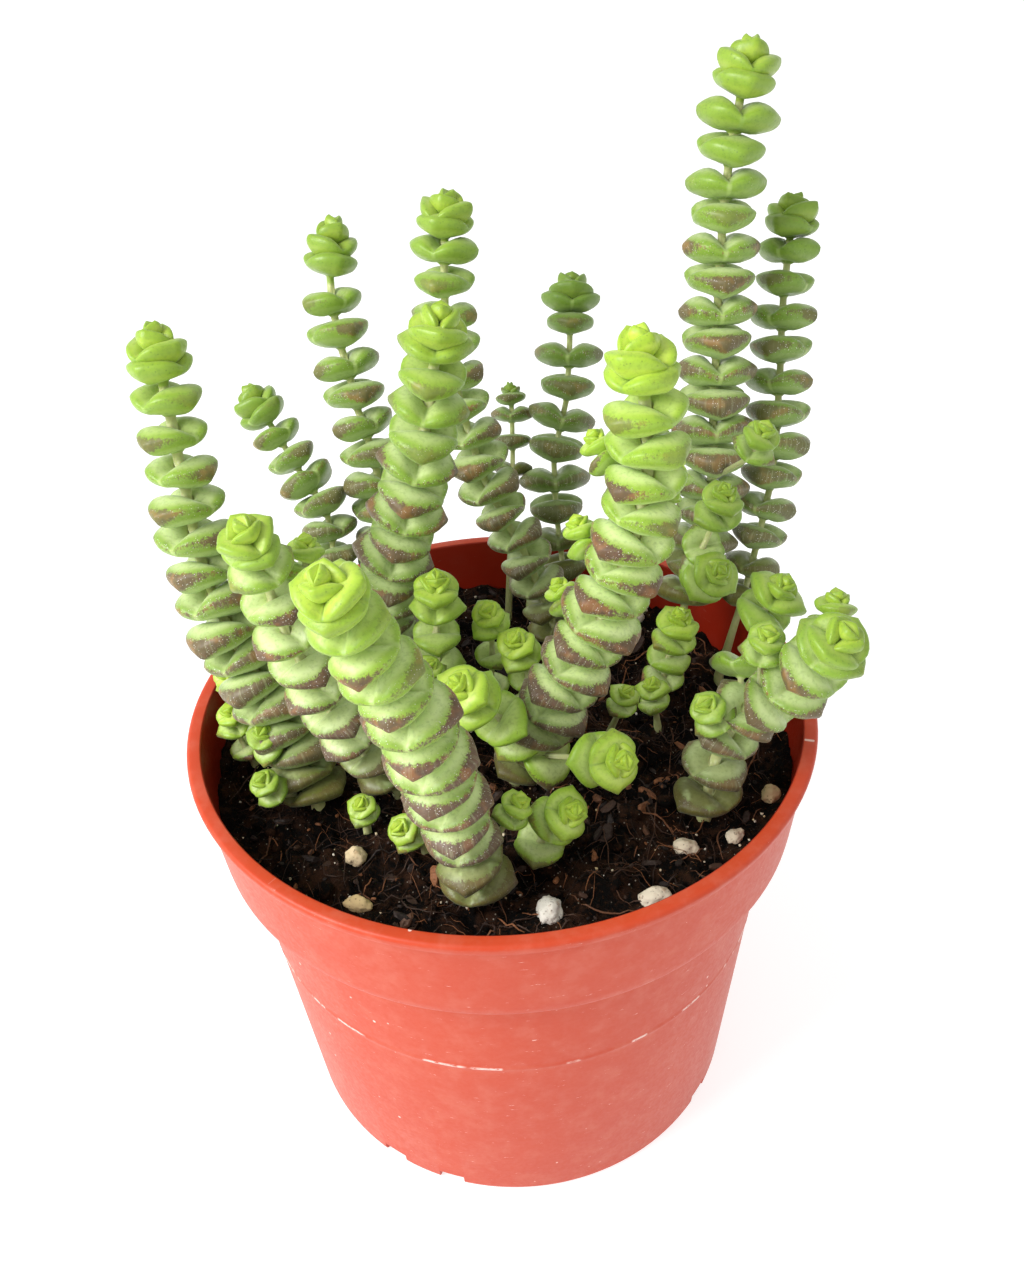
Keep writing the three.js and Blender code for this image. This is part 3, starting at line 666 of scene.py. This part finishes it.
def make_leaf_material():
    g = Graph("crassula_leaf")
    place = g.place()
    rim_x, rim_y, meridian = g.parts(g.attribute("rim"))
    age, chance, painted_shade = g.parts(g.attribute("growth_and_shade"))
    tip = g.math("ABSOLUTE", rim_x)
    on_leaf = g.window(meridian, -0.3, 0.0)
    broad = g.noise(place, 0.35, 2.0)
    fine = g.noise(place, 1.6, 3.0, 0.6)

    # Flesh: yellow-green in the rosette, fresh green below it, paler and greyer on the old leaves
    young = g.mix(g.window(age, 0.05, 0.3), (188, 214, 56), (166, 196, 64))
    middle = g.mix(g.window(age, 0.25, 0.6), young, (158, 182, 84))
    green = g.mix(g.window(age, 0.6, 0.95), middle, (150, 162, 106))

    # A pale bloom on top and low on the sides, and brighter flesh on the round margin and at the stem
    ripe = g.window(age, 0.12, 0.45, 0.15, 1.0)
    crown = g.times(g.window(meridian, 0.96, 0.7), ripe)
    green = g.mix(g.times(crown, 0.9), green, (230, 244, 178))
    side = g.times(g.window(meridian, 1.06, 1.2), ripe)
    green = g.mix(g.times(side, 0.6), green, (196, 220, 148))
    band = g.times(g.window(meridian, 0.8, 0.97), g.window(meridian, 1.2, 1.05))
    green = g.mix(g.times(band, 0.5), green, (132, 174, 48))
    green = g.mix(g.times(g.window(meridian, 1.55, 1.8), 0.5), green, (156, 192, 60))
    green = g.mix(g.window(fine, 0.45, 0.75, 0.0, 0.3), green, (94, 130, 44))
    # Painted shade: the leaves of the stems at the back are darker, as if less light reached them
    shade = g.times(painted_shade, g.window(age, 0.05, 0.5, 0.9, 0.8))
    green = g.mix(shade, green, g.mix(broad, (64, 96, 34), (92, 122, 50)))

    # Small dark dots on the round margin
    dots = g.window(g.cells(place, 1.7), 0.26, 0.12)
    dots = g.times(dots, g.times(band, g.window(broad, 0.3, 0.55)))
    green = g.mix(g.times(dots, 0.45), green, (78, 104, 36))

    # Brown margin: wide at the tips, narrow along the sides, and wider with age
    ragged = g.noise(g.scaled(g.attribute("rim"), (7, 7, 3)), 1.0, 3.0, 0.6)
    from_margin = g.math("ABSOLUTE", g.minus(meridian, 1.0))
    at_tip = g.math("POWER", tip, 5.0)
    reach = g.plus(g.times(at_tip, 0.11), g.window(age, 0.2, 0.9, -0.03, 0.05))
    reach = g.plus(reach, g.times(g.minus(ragged, 0.5), 0.13))
    speckled = g.noise(place, 3.2, 3.0, 0.7)
    reach = g.plus(reach, g.times(g.minus(speckled, 0.5), 0.22))
    brown_share = g.window(g.minus(reach, from_margin), -0.03, 0.03)
    grown_up = g.window(g.plus(age, g.times(chance, 0.08)), 0.18, 0.4)
    brown_share = g.times(brown_share, grown_up)
    # Less brown on the leaves that have more painted shade
    brown_share = g.times(brown_share, g.window(painted_shade, 0.1, 1.0, 1.0, 0.45))
    brown = g.mix(fine, (116, 68, 60), (74, 44, 48))
    brown = g.mix(g.window(broad, 0.5, 0.65, 0.0, 0.6), brown, (158, 96, 58))
    brown = g.mix(g.window(age, 0.5, 1.0, 0.0, 0.5), brown, (106, 86, 80))
    leaf = g.mix(g.times(brown_share, 0.92), green, brown)

    # Pale streaks across the brown margin and silvery flecks in it
    streaks = g.noise(g.scaled(g.attribute("rim"), (16, 16, 1.5)), 1.0, 2.0, 0.6)
    streak_zone = g.window(from_margin, 0.14, 0.04)
    streak_share = g.times(g.window(streaks, 0.54, 0.66), streak_zone)
    streak_share = g.times(streak_share, g.window(age, 0.35, 0.8, 0.0, 0.25))
    leaf = g.mix(streak_share, leaf, (196, 204, 160))
    flecks = g.window(g.cells(place, 2.8), 0.24, 0.1)
    fleck_share = g.times(flecks, g.window(g.noise(place, 1.1), 0.42, 0.52))
    fleck_share = g.times(fleck_share, g.window(from_margin, 0.2, 0.08))
    fleck_share = g.times(fleck_share, g.window(age, 0.2, 0.5))
    leaf = g.mix(fleck_share, leaf, (236, 234, 224))

    # A line where the two leaves of a pair meet, pale on old pairs, and olive stains on the lowest leaves
    seam = g.times(g.window(tip, 0.1, 0.02), g.window(meridian, 0.2, 0.5))
    seam_colour = g.mix(g.window(age, 0.1, 0.35), (112, 152, 44), (198, 218, 140))
    leaf = g.mix(g.times(seam, 0.5), leaf, seam_colour)
    stain = g.times(g.window(age, 0.84, 0.98), g.window(broad, 0.25, 0.5))
    leaf = g.mix(g.times(stain, 0.8), leaf, g.mix(fine, (116, 118, 38), (84, 72, 32)))

    stalk = g.mix(fine, (206, 208, 150), (176, 184, 116))
    whole = g.mix(on_leaf, stalk, leaf)
    rough = g.plus(g.window(fine, 0.3, 0.7, 0.32, 0.48), g.times(brown_share, 0.1))
    rough = g.minus(rough, g.times(fleck_share, 0.3))
    relief = g.plus(g.times(g.noise(place, 2.5, 3.0, 0.6), 0.5), g.times(fleck_share, 0.8))
    relief = g.plus(relief, g.times(streak_share, 0.25))
    g.set(Base_Color=whole, Roughness=rough, Normal=g.bump(relief, 0.35, 0.15))
    g.set(Subsurface_Weight=0.15, Subsurface_Radius=(1.0, 1.6, 0.4), Subsurface_Scale=1.2 * MM)
    g.set(Sheen_Weight=0.12, Sheen_Roughness=0.5, Sheen_Tint=(0.85, 1.0, 0.8, 1))
    g.set(Specular_IOR_Level=0.45)
    return g.material


def make_pot_material():
    g = Graph("terracotta_plastic")
    place = g.place()
    x, y, z = g.parts(place)
    radius = g.math("SQRT", g.plus(g.times(x, x), g.times(y, y)))
    arc = g.times(g.math("ARCTAN2", x, g.times(y, -1.0)), BODY_TOP_RADIUS)
    wall = g.joined(arc, z, 0.0)
    broad = g.noise(place, 0.05, 3.0)
    base = g.mix(broad, (201, 71, 36), (194, 65, 32))
    grime = g.window(g.noise(place, 0.25, 4.0, 0.6), 0.4, 0.75)
    base = g.mix(g.times(grime, 0.08), base, (240, 190, 170))

    # White scuffs, long along the wall: some anywhere, most on the mould ring
    scratch = g.noise(g.scaled(wall, (0.22, 2.6, 1)), 1.0, 4.0, 0.7)
    fleck = g.noise(g.scaled(wall, (0.9, 3.5, 1)), 1.0, 2.0, 0.6)
    on_ring = g.window(g.math("ABSOLUTE", g.minus(z, MOULD_RING_HEIGHT)), 0.45, 0.1)
    dashes = g.noise(g.scaled(wall, (0.16, 0.01, 1)), 1.0, 2.0, 0.5)
    scuff = g.times(g.window(dashes, 0.52, 0.56), g.window(fleck, 0.38, 0.48))
    scuff = g.times(scuff, on_ring)
    stray = g.times(g.window(scratch, 0.64, 0.7), g.window(fleck, 0.48, 0.58))
    specks = g.times(g.window(g.cells(place, 0.2), 0.07, 0.04), g.window(broad, 0.45, 0.55))
    scuff = g.math("MAXIMUM", scuff, g.math("MAXIMUM", stray, specks))
    base = g.mix(g.times(scuff, 0.8), base, (250, 226, 216))

    # Painted shade inside the pot: a deeper red where the wall's normal points to the pot's middle
    normal = g.node("NewGeometry").outputs["Normal"]
    outward = g.node("VectorMath", {0: normal, 1: g.joined(x, y, 0.0)},
                     operation="DOT_PRODUCT").outputs["Value"]
    base = g.mix(g.window(outward, -10.0, -30.0, 0.0, 0.85), base, (146, 26, 10))
    speckle = g.noise(place, 1.3, 3.0, 0.6)
    rough = g.window(speckle, 0.3, 0.7, 0.36, 0.46)
    rough = g.plus(rough, g.times(scuff, 0.25))
    g.set(Base_Color=base, Roughness=rough, Normal=g.bump(speckle, 0.12, 0.1))
    g.set(Specular_IOR_Level=0.32)
    g.set(Subsurface_Weight=0.08, Subsurface_Radius=(2.0, 0.6, 0.4), Subsurface_Scale=1.0 * MM)
    return g.material


def make_soil_material():
    g = Graph("potting_soil")
    place = g.place()
    clumps = g.noise(place, 0.3, 5.0, 0.65)
    grains = g.noise(place, 1.8, 5.0, 0.7)
    base = g.mix(g.window(clumps, 0.45, 0.62), (5, 3, 2), (56, 34, 21))
    base = g.mix(g.window(grains, 0.55, 0.72), base, (92, 60, 37))
    grit = g.times(g.window(g.cells(place, 1.1), 0.16, 0.09), g.window(clumps, 0.45, 0.55))
    base = g.mix(grit, base, (176, 166, 150))
    rough = g.window(grains, 0.35, 0.65, 0.55, 0.95)
    g.set(Base_Color=base, Roughness=rough, Normal=g.bump(grains, 1.0, 0.9))
    g.set(Specular_IOR_Level=0.12)
    return g.material


def make_fibre_material():
    g = Graph("bark_and_fibre")
    place = g.place()
    kind = g.parts(g.attribute("kind"))
    grain = g.noise(g.scaled(place, (1, 1, 3)), 1.5, 4.0, 0.6)
    dark = g.mix(kind[0], (30, 17, 11), (88, 56, 35))
    base = g.mix(g.window(kind[0], 0.6, 1.0), dark, (150, 94, 56))
    base = g.mix(g.window(grain, 0.45, 0.75, 0.0, 0.6), base, (30, 18, 12))
    g.set(Base_Color=base, Roughness=g.window(grain, 0.3, 0.7, 0.5, 0.85), Normal=g.bump(grain, 0.6, 0.25))
    return g.material


def make_stone_material():
    g = Graph("pumice_and_perlite")
    place = g.place()
    stain = g.parts(g.attribute("kind"))[0]
    broad = g.noise(place, 0.7, 4.0, 0.6)
    pores = g.times(g.window(g.cells(place, 2.0), 0.32, 0.16), g.window(broad, 0.42, 0.55))
    base = g.mix(stain, (236, 232, 222), (222, 194, 142))
    base = g.mix(g.window(broad, 0.5, 0.75, 0.0, 0.6), base, (168, 128, 84))
    base = g.mix(g.times(pores, 0.6), base, (96, 72, 50))
    relief = g.minus(broad, g.times(pores, 0.5))
    g.set(Base_Color=base, Roughness=0.85, Normal=g.bump(relief, 0.6, 0.3))
    return g.material


def inside_radius(height):
    """Radius of the inside of the collar."""
    low, high = STEP_HEIGHT + STEP_BEVEL + STEP_WALL, POT_HEIGHT
    return lerp(COLLAR_RADIUS, COLLAR_TOP_RADIUS, (height - low) / (high - low)) - WALL


def arc_points(centre, radius, start, end, steps):
    """Points of a round corner in a profile, from one direction to another in degrees."""
    turns = [radians(lerp(start, end, i / steps)) for i in range(steps + 1)]
    return [(centre[0] + radius * cos(t), centre[1] + radius * sin(t)) for t in turns]


def pot_profile():
    """Radius and height round the pot's wall, from the middle of the underside to the middle inside."""
    lip_bottom = POT_HEIGHT - LIP_HEIGHT
    mouth = inside_radius(POT_HEIGHT)
    ring_rows = []
    for out, up in MOULD_RING_ROWS:
        height = MOULD_RING_HEIGHT + up
        ring_rows.append((lerp(BASE_RADIUS, BODY_TOP_RADIUS, height / STEP_HEIGHT) + out, height))
    return [
        (0.01, 0), (20, 0), (BASE_RADIUS - 4, 0),
        *arc_points((BASE_RADIUS - BASE_ROUND, BASE_ROUND), BASE_ROUND, -90, 0, 5),
        *ring_rows,
        *[(BODY_TOP_RADIUS + out, STEP_HEIGHT + up) for out, up in BODY_TOP_ROWS],
        *[(COLLAR_RADIUS + out, STEP_HEIGHT + up) for out, up in COLLAR_FOOT_ROWS],
        (COLLAR_TOP_RADIUS - 0.1, lip_bottom - 1.2), (COLLAR_TOP_RADIUS, lip_bottom - THIN_ROUND),
        (COLLAR_TOP_RADIUS + 0.25, lip_bottom), (LIP_RADIUS - 0.3, lip_bottom + 0.1),
        *arc_points((LIP_RADIUS - LIP_ROUND, POT_HEIGHT - LIP_ROUND), LIP_ROUND, 0, 90, 5),
        *arc_points((mouth + THIN_ROUND, POT_HEIGHT - THIN_ROUND), THIN_ROUND, 90, 180, 3),
        (inside_radius(74), 74), (inside_radius(STEP_HEIGHT + 2), STEP_HEIGHT + 2),
        (BODY_TOP_RADIUS - WALL, STEP_HEIGHT + 0.6), (BASE_RADIUS - WALL, FLOOR_THICKNESS + 1),
        (0.01, FLOOR_THICKNESS),
    ]


def on_circle(radius, turn):
    return radius * cos(turn), radius * sin(turn)


def all_turns(sides):
    return [2 * pi * side / sides for side in range(sides)]


def tube_faces(rows, sides, first=0):
    """Faces from each row of points to the next. A row goes once round the tube."""
    return [(low + i, low + (i + 1) % sides, low + sides + (i + 1) % sides, low + sides + i)
            for low in range(first, first + rows * sides, sides) for i in range(sides)]


def make_pot(material):
    profile = pot_profile()
    turns = all_turns(POT_SIDES)
    points = [(*on_circle(radius, turn), height) for radius, height in profile for turn in turns]
    last = (len(profile) - 1) * POT_SIDES
    faces = tube_faces(len(profile) - 1, POT_SIDES)
    faces.append(tuple(reversed(range(POT_SIDES))))
    faces.append(tuple(range(last, last + POT_SIDES)))
    pot = make_object("pot_shell", points, faces)
    cut_notches(pot)
    seat(pot, material, "pot_plastic", "pot")


def cut_notches(pot):
    """Cuts the drain notches out of the edge of the base."""
    corners = [(x, y, z) for x in (-0.5, 0.5) for y in (-0.5, 0.5) for z in (-1, 1)]
    box_faces = ((0, 1, 3, 2), (4, 6, 7, 5), (0, 4, 5, 1), (2, 3, 7, 6), (0, 2, 6, 4), (1, 5, 7, 3))
    points, faces = [], []
    for pair in range(NOTCH_PAIRS):
        for side in (-0.5, 0.5):
            turn = radians(NOTCH_PAIR_TURN + pair * 360 / NOTCH_PAIRS + side * NOTCH_SPREAD)
            faces += [tuple(len(points) + corner for corner in face) for face in box_faces]
            for x, y, z in corners:
                out, aside = BASE_RADIUS + x * NOTCH_REACH, y * NOTCH_WIDTH
                points.append((out * cos(turn) - aside * sin(turn),
                               out * sin(turn) + aside * cos(turn), z * NOTCH_HEIGHT))
    cutter = make_object("notch_cutter", points, faces, smooth=False)
    cut = pot.modifiers.new("notches", "BOOLEAN")
    cut.operation = "DIFFERENCE"
    cut.object = cutter
    cut.solver = "EXACT"
    depsgraph = bpy.context.evaluated_depsgraph_get()
    cut_mesh = bpy.data.meshes.new_from_object(pot.evaluated_get(depsgraph))
    pot.modifiers.clear()
    pot.data = cut_mesh
    bpy.data.objects.remove(cutter)
    pot.data.set_sharp_from_angle(angle=radians(SHARP_ANGLE))


SOIL_RADIUS = inside_radius(SOIL_HEIGHT) - 0.05


def soil_top(x, y):
    """Height of the soil's top: low clods that fade out towards the wall."""
    clods = sin(0.31 * x + 0.7) * cos(0.27 * y - 0.4)
    slopes = 0.6 * sin(0.19 * x - 0.43 * y + 1.9)
    fade = 1 - min(1, hypot(x, y) / SOIL_RADIUS) ** 4
    return SOIL_HEIGHT + CLOD_HEIGHT * (clods + slopes) * fade


KEPT_SPOTS = np.array([stem["path"][0][:2] for stem in STEMS] + [lump["at"] for lump in LUMPS])


def kept_distance(x, y):
    """Distance to the nearest foot of a stem or lump."""
    return np.hypot(KEPT_SPOTS[:, 0] - x, KEPT_SPOTS[:, 1] - y).min()


def rough_soil(x, y):
    """The soil's top with its clumps and crumbs. The clumps fade out at the feet and at the lumps."""
    spot = Vector((x, y, 0))
    clumps = 2.2 * noise.noise(spot * 0.17) + 1.5 * abs(noise.noise(spot * 0.36)) - 0.3
    crumbs = 1.0 * noise.noise(spot * 0.9) + 0.7 * noise.noise(spot * 2.1)
    return soil_top(x, y) + clumps * float(smoothstep(1, 5, kept_distance(x, y))) + crumbs - 0.2


def make_soil(material):
    points = [(0, 0, rough_soil(0, 0))]
    for ring in range(1, SOIL_RINGS + 1):
        for turn in all_turns(SOIL_SIDES):
            x, y = on_circle(SOIL_RADIUS * ring / SOIL_RINGS, turn)
            points.append((x, y, rough_soil(x, y)))
    first = len(points)
    points += [(*on_circle(SOIL_RADIUS, turn), SOIL_HEIGHT - SKIRT_DEPTH) for turn in all_turns(SOIL_SIDES)]
    faces = [(0, 1 + side, 1 + (side + 1) % SOIL_SIDES) for side in range(SOIL_SIDES)]
    faces += [(a, d, c, b) for a, b, c, d in tube_faces(SOIL_RINGS, SOIL_SIDES, 1)]
    faces.append(tuple(reversed(range(first, first + SOIL_SIDES))))
    soil = make_object("soil_surface", points, faces)
    seat(soil, material, "potting_soil", "soil")


class Litter:
    """Many small things on the soil that become one mesh."""

    def __init__(self):
        self.points = []
        self.faces = []
        self.kinds = []

    def add(self, points, faces, kind):
        first = len(self.points)
        self.points.extend(points)
        self.faces.extend(tuple(first + i for i in face) for face in faces)
        self.kinds.extend([(kind, 0, 0)] * len(points))

    def finish(self, name, material, slot, smooth=True):
        piece = make_object(name, self.points, self.faces, smooth)
        give_vectors(piece, "kind", self.kinds)
        seat(piece, material, slot)


def free_spot(draws, margin, clear):
    """A random spot on the soil that is clear of the feet of the stems and of the lumps."""
    while True:
        turn = draws.uniform(0, 2 * pi)
        x, y = on_circle((SOIL_RADIUS - margin) * sqrt(draws.uniform(0, 1)), turn)
        if kept_distance(x, y) > clear:
            return x, y


def make_fibres(material):
    """Coir fibres: thin bent threads that lie on the soil."""
    draws = np.random.default_rng(FIBRE_SEED)
    litter = Litter()
    for _ in range(FIBRE_COUNT):
        x, y = free_spot(draws, 4, 2.5)
        turn = draws.uniform(0, 2 * pi)
        bend = draws.uniform(-0.25, 0.25)
        steps = int(draws.integers(4, 12))
        stride = draws.uniform(0.6, 1.4)
        radius = 0.05 + 0.15 * draws.uniform(0, 1) ** 2
        lift = draws.uniform(0, 0.9)
        rings = []
        for step in range(steps):
            if hypot(x, y) > SOIL_RADIUS - 0.6:
                break
            z = rough_soil(x, y) + radius + lift * sin(pi * step / (steps - 1))
            taper = radius * (1 - 0.6 * abs(2 * step / (steps - 1) - 1))
            side_x, side_y = -sin(turn), cos(turn)
            rings.append([(x + side_x * a * taper, y + side_y * a * taper, z + b * taper)
                          for a, b in ((1, 0), (0, 1), (-1, 0), (0, -1))])
            turn += bend + draws.uniform(-0.3, 0.3)
            x += stride * cos(turn)
            y += stride * sin(turn)
        if len(rings) < 3:
            continue
        points = [point for ring in rings for point in ring]
        last = 4 * len(rings) - 4
        faces = tube_faces(len(rings) - 1, 4) + [(3, 2, 1, 0), tuple(range(last, last + 4))]
        litter.add(points, faces, draws.uniform(0, 1))
    litter.finish("coir_fibres", material, "potting_soil")


def make_chips(material):
    """Bark chips: small tilted flakes."""
    draws = np.random.default_rng(CHIP_SEED)
    litter = Litter()
    for _ in range(CHIP_COUNT):
        length = 0.8 + 4.4 * draws.uniform(0, 1) ** 3.5
        width = length * draws.uniform(0.3, 0.65)
        thick = draws.uniform(0.2, 0.4) + 0.12 * length
        x, y = free_spot(draws, 2 + length / 2, 2.2 + length / 2)
        tilt = Matrix.Rotation(draws.uniform(0, 2 * pi), 3, "Z")
        tilt = tilt @ Matrix.Rotation(draws.uniform(-1.1, 1.1), 3, "X")
        tilt = tilt @ Matrix.Rotation(draws.uniform(-0.6, 0.6), 3, "Y")
        middle = Vector((x, y, rough_soil(x, y) + 0.15))
        outline = []
        for turn in all_turns(CHIP_SIDES):
            reach = draws.uniform(0.65, 1)
            outline.append((reach * length / 2 * cos(turn), reach * width / 2 * sin(turn)))
        points = [tuple(middle + tilt @ Vector((a, b, thick / 2 * level)))
                  for level, shrink in ((-1, 0.8), (0.4, 1), (1, 0.75))
                  for a, b in [(p * shrink, q * shrink) for p, q in outline]]
        faces = [tuple(reversed(range(CHIP_SIDES))), tuple(range(2 * CHIP_SIDES, 3 * CHIP_SIDES))]
        litter.add(points, faces + tube_faces(2, CHIP_SIDES), draws.uniform(0, 1) ** 2)
    litter.finish("bark_chips", material, "potting_soil", smooth=False)


def icosphere(level):
    """Points and faces of a unit sphere made of triangles."""
    ball = bmesh.new()
    bmesh.ops.create_icosphere(ball, subdivisions=level, radius=1)
    points = [tuple(v.co) for v in ball.verts]
    faces = [tuple(v.index for v in face.verts) for face in ball.faces]
    ball.free()
    return points, faces


def make_crumbs(material):
    """Crumbs of soil, larger and rounder than the surface's own."""
    draws = np.random.default_rng(CRUMB_SEED)
    ball_points, ball_faces = icosphere(2)
    litter = Litter()
    for _ in range(CRUMB_COUNT):
        size = draws.uniform(0.4, 1.5)
        x, y = free_spot(draws, 1 + size, 2.5 + size)
        middle = Vector((x, y, rough_soil(x, y) + 0.1 * size))
        squash = Vector((draws.uniform(0.7, 1.2), draws.uniform(0.7, 1.2), draws.uniform(0.5, 0.9)))
        shift = Vector((x, y, size)) * 3
        points = []
        for point in ball_points:
            bulge = 1 + 0.5 * noise.noise(Vector(point) * 1.7 + shift)
            points.append(tuple(middle + Vector(point) * squash * size * bulge))
        litter.add(points, ball_faces, 0)
    litter.finish("soil_crumbs", material, "potting_soil")


def make_grit(material):
    """Tiny pale grains."""
    draws = np.random.default_rng(GRIT_SEED)
    ball_points, ball_faces = icosphere(1)
    litter = Litter()
    for _ in range(GRIT_COUNT):
        size = draws.uniform(0.1, 0.32)
        x, y = free_spot(draws, 1, 2)
        middle = Vector((x, y, rough_soil(x, y) + 0.3 * size))
        points = [tuple(middle + Vector(point) * size * draws.uniform(0.7, 1.2)) for point in ball_points]
        litter.add(points, ball_faces, draws.uniform(0, 1))
    litter.finish("pale_grit", material, "pale_stone", smooth=False)


def make_lumps(material):
    ball_points, ball_faces = icosphere(4)
    for number, lump in enumerate(LUMPS, 1):
        x, y = lump["at"]
        turn = Matrix.Rotation(radians(lump["turn"]), 3, "Z")
        middle = Vector((x, y, soil_top(x, y) + LUMP_RISE))
        points = []
        for point in ball_points:
            spot = Vector(point) * 1.3 + Vector((number * 7, 0, 0))
            bulge = 0.93 + 0.22 * noise.noise(spot) + 0.09 * noise.noise(spot * 3)
            bulge -= 0.06 * abs(noise.noise(spot * 6))
            sized = Vector([a * b for a, b in zip(point, lump["size"])])
            points.append(tuple(middle + turn @ (sized * bulge)))
        piece = make_object("stone_" + lump["name"], points, ball_faces)
        give_vectors(piece, "kind", [(lump["stain"], 0, 0)] * len(points))
        seat(piece, material, "pale_stone", lump["name"])


# Studio: a white world, a floor that gives off some light of its own, and one square soft light
WORLD_STRENGTH = 0.72
FLOOR_HALF = 3000
FLOOR_GREY = 0.5
FLOOR_GLOW = 0.71
KEY_PLACE = (-400, -200, 420)
KEY_AIM = (0, 0, 90)
KEY_SIZE = 320
KEY_POWER = 3.6


def make_floor():
    corners = [(x * FLOOR_HALF, y * FLOOR_HALF, 0) for x, y in ((-1, -1), (1, -1), (1, 1), (-1, 1))]
    ground = make_object("floor", corners, [(0, 1, 2, 3)], smooth=False)
    g = Graph("pale_floor")
    g.set(Base_Color=(FLOOR_GREY, FLOOR_GREY, FLOOR_GREY, 1), Roughness=0.6, Specular_IOR_Level=0.2)
    g.set(Emission_Color=(1, 1, 1, 1), Emission_Strength=FLOOR_GLOW)
    ground.data.materials.append(g.material)


def make_key_light():
    data = bpy.data.lights.new("key", "AREA")
    data.size = KEY_SIZE * MM
    data.energy = KEY_POWER
    light = bpy.data.objects.new("key", data)
    light.location = Vector(KEY_PLACE) * MM
    aim = Vector(KEY_AIM) * MM - light.location
    light.rotation_mode = "QUATERNION"
    light.rotation_quaternion = aim.to_track_quat("-Z", "Y")
    bpy.context.collection.objects.link(light)


def make_studio():
    scene = bpy.context.scene
    scene.view_settings.view_transform = "Standard"
    world = bpy.data.worlds.new("studio")
    world.use_nodes = True
    background = world.node_tree.nodes["Background"]
    background.inputs["Color"].default_value = (1, 1, 1, 1)
    background.inputs["Strength"].default_value = WORLD_STRENGTH
    scene.world = world
    make_key_light()


# Camera: fitted to the photo, whose frame is 1024 by 1275
PHOTO_HEIGHT = 1275
FOCAL_PIXELS = 1228.24
CAMERA_PLACE = (2.45, -160.27, 214.05)
CAMERA_ELEVATION = 36.76
CAMERA_ROLL = -2.93
SENSOR = 36


def make_camera():
    data = bpy.data.cameras.new("photo_view")
    data.sensor_width = SENSOR
    data.lens = FOCAL_PIXELS * SENSOR / PHOTO_HEIGHT
    data.clip_start = 0.01
    camera = bpy.data.objects.new("photo_view", data)
    tilt = Matrix.Rotation(radians(90 - CAMERA_ELEVATION), 4, "X")
    roll = Matrix.Rotation(radians(CAMERA_ROLL), 4, "Z")
    camera.matrix_world = Matrix.Translation(Vector(CAMERA_PLACE) * MM) @ tilt @ roll
    bpy.context.collection.objects.link(camera)
    bpy.context.scene.camera = camera


make_camera()
make_studio()
make_floor()
make_pot(make_pot_material())
earth = make_soil_material()
fibre = make_fibre_material()
stone = make_stone_material()
make_soil(earth)
make_fibres(fibre)
make_chips(fibre)
make_crumbs(earth)
make_grit(stone)
make_lumps(stone)
make_plant(make_leaf_material())
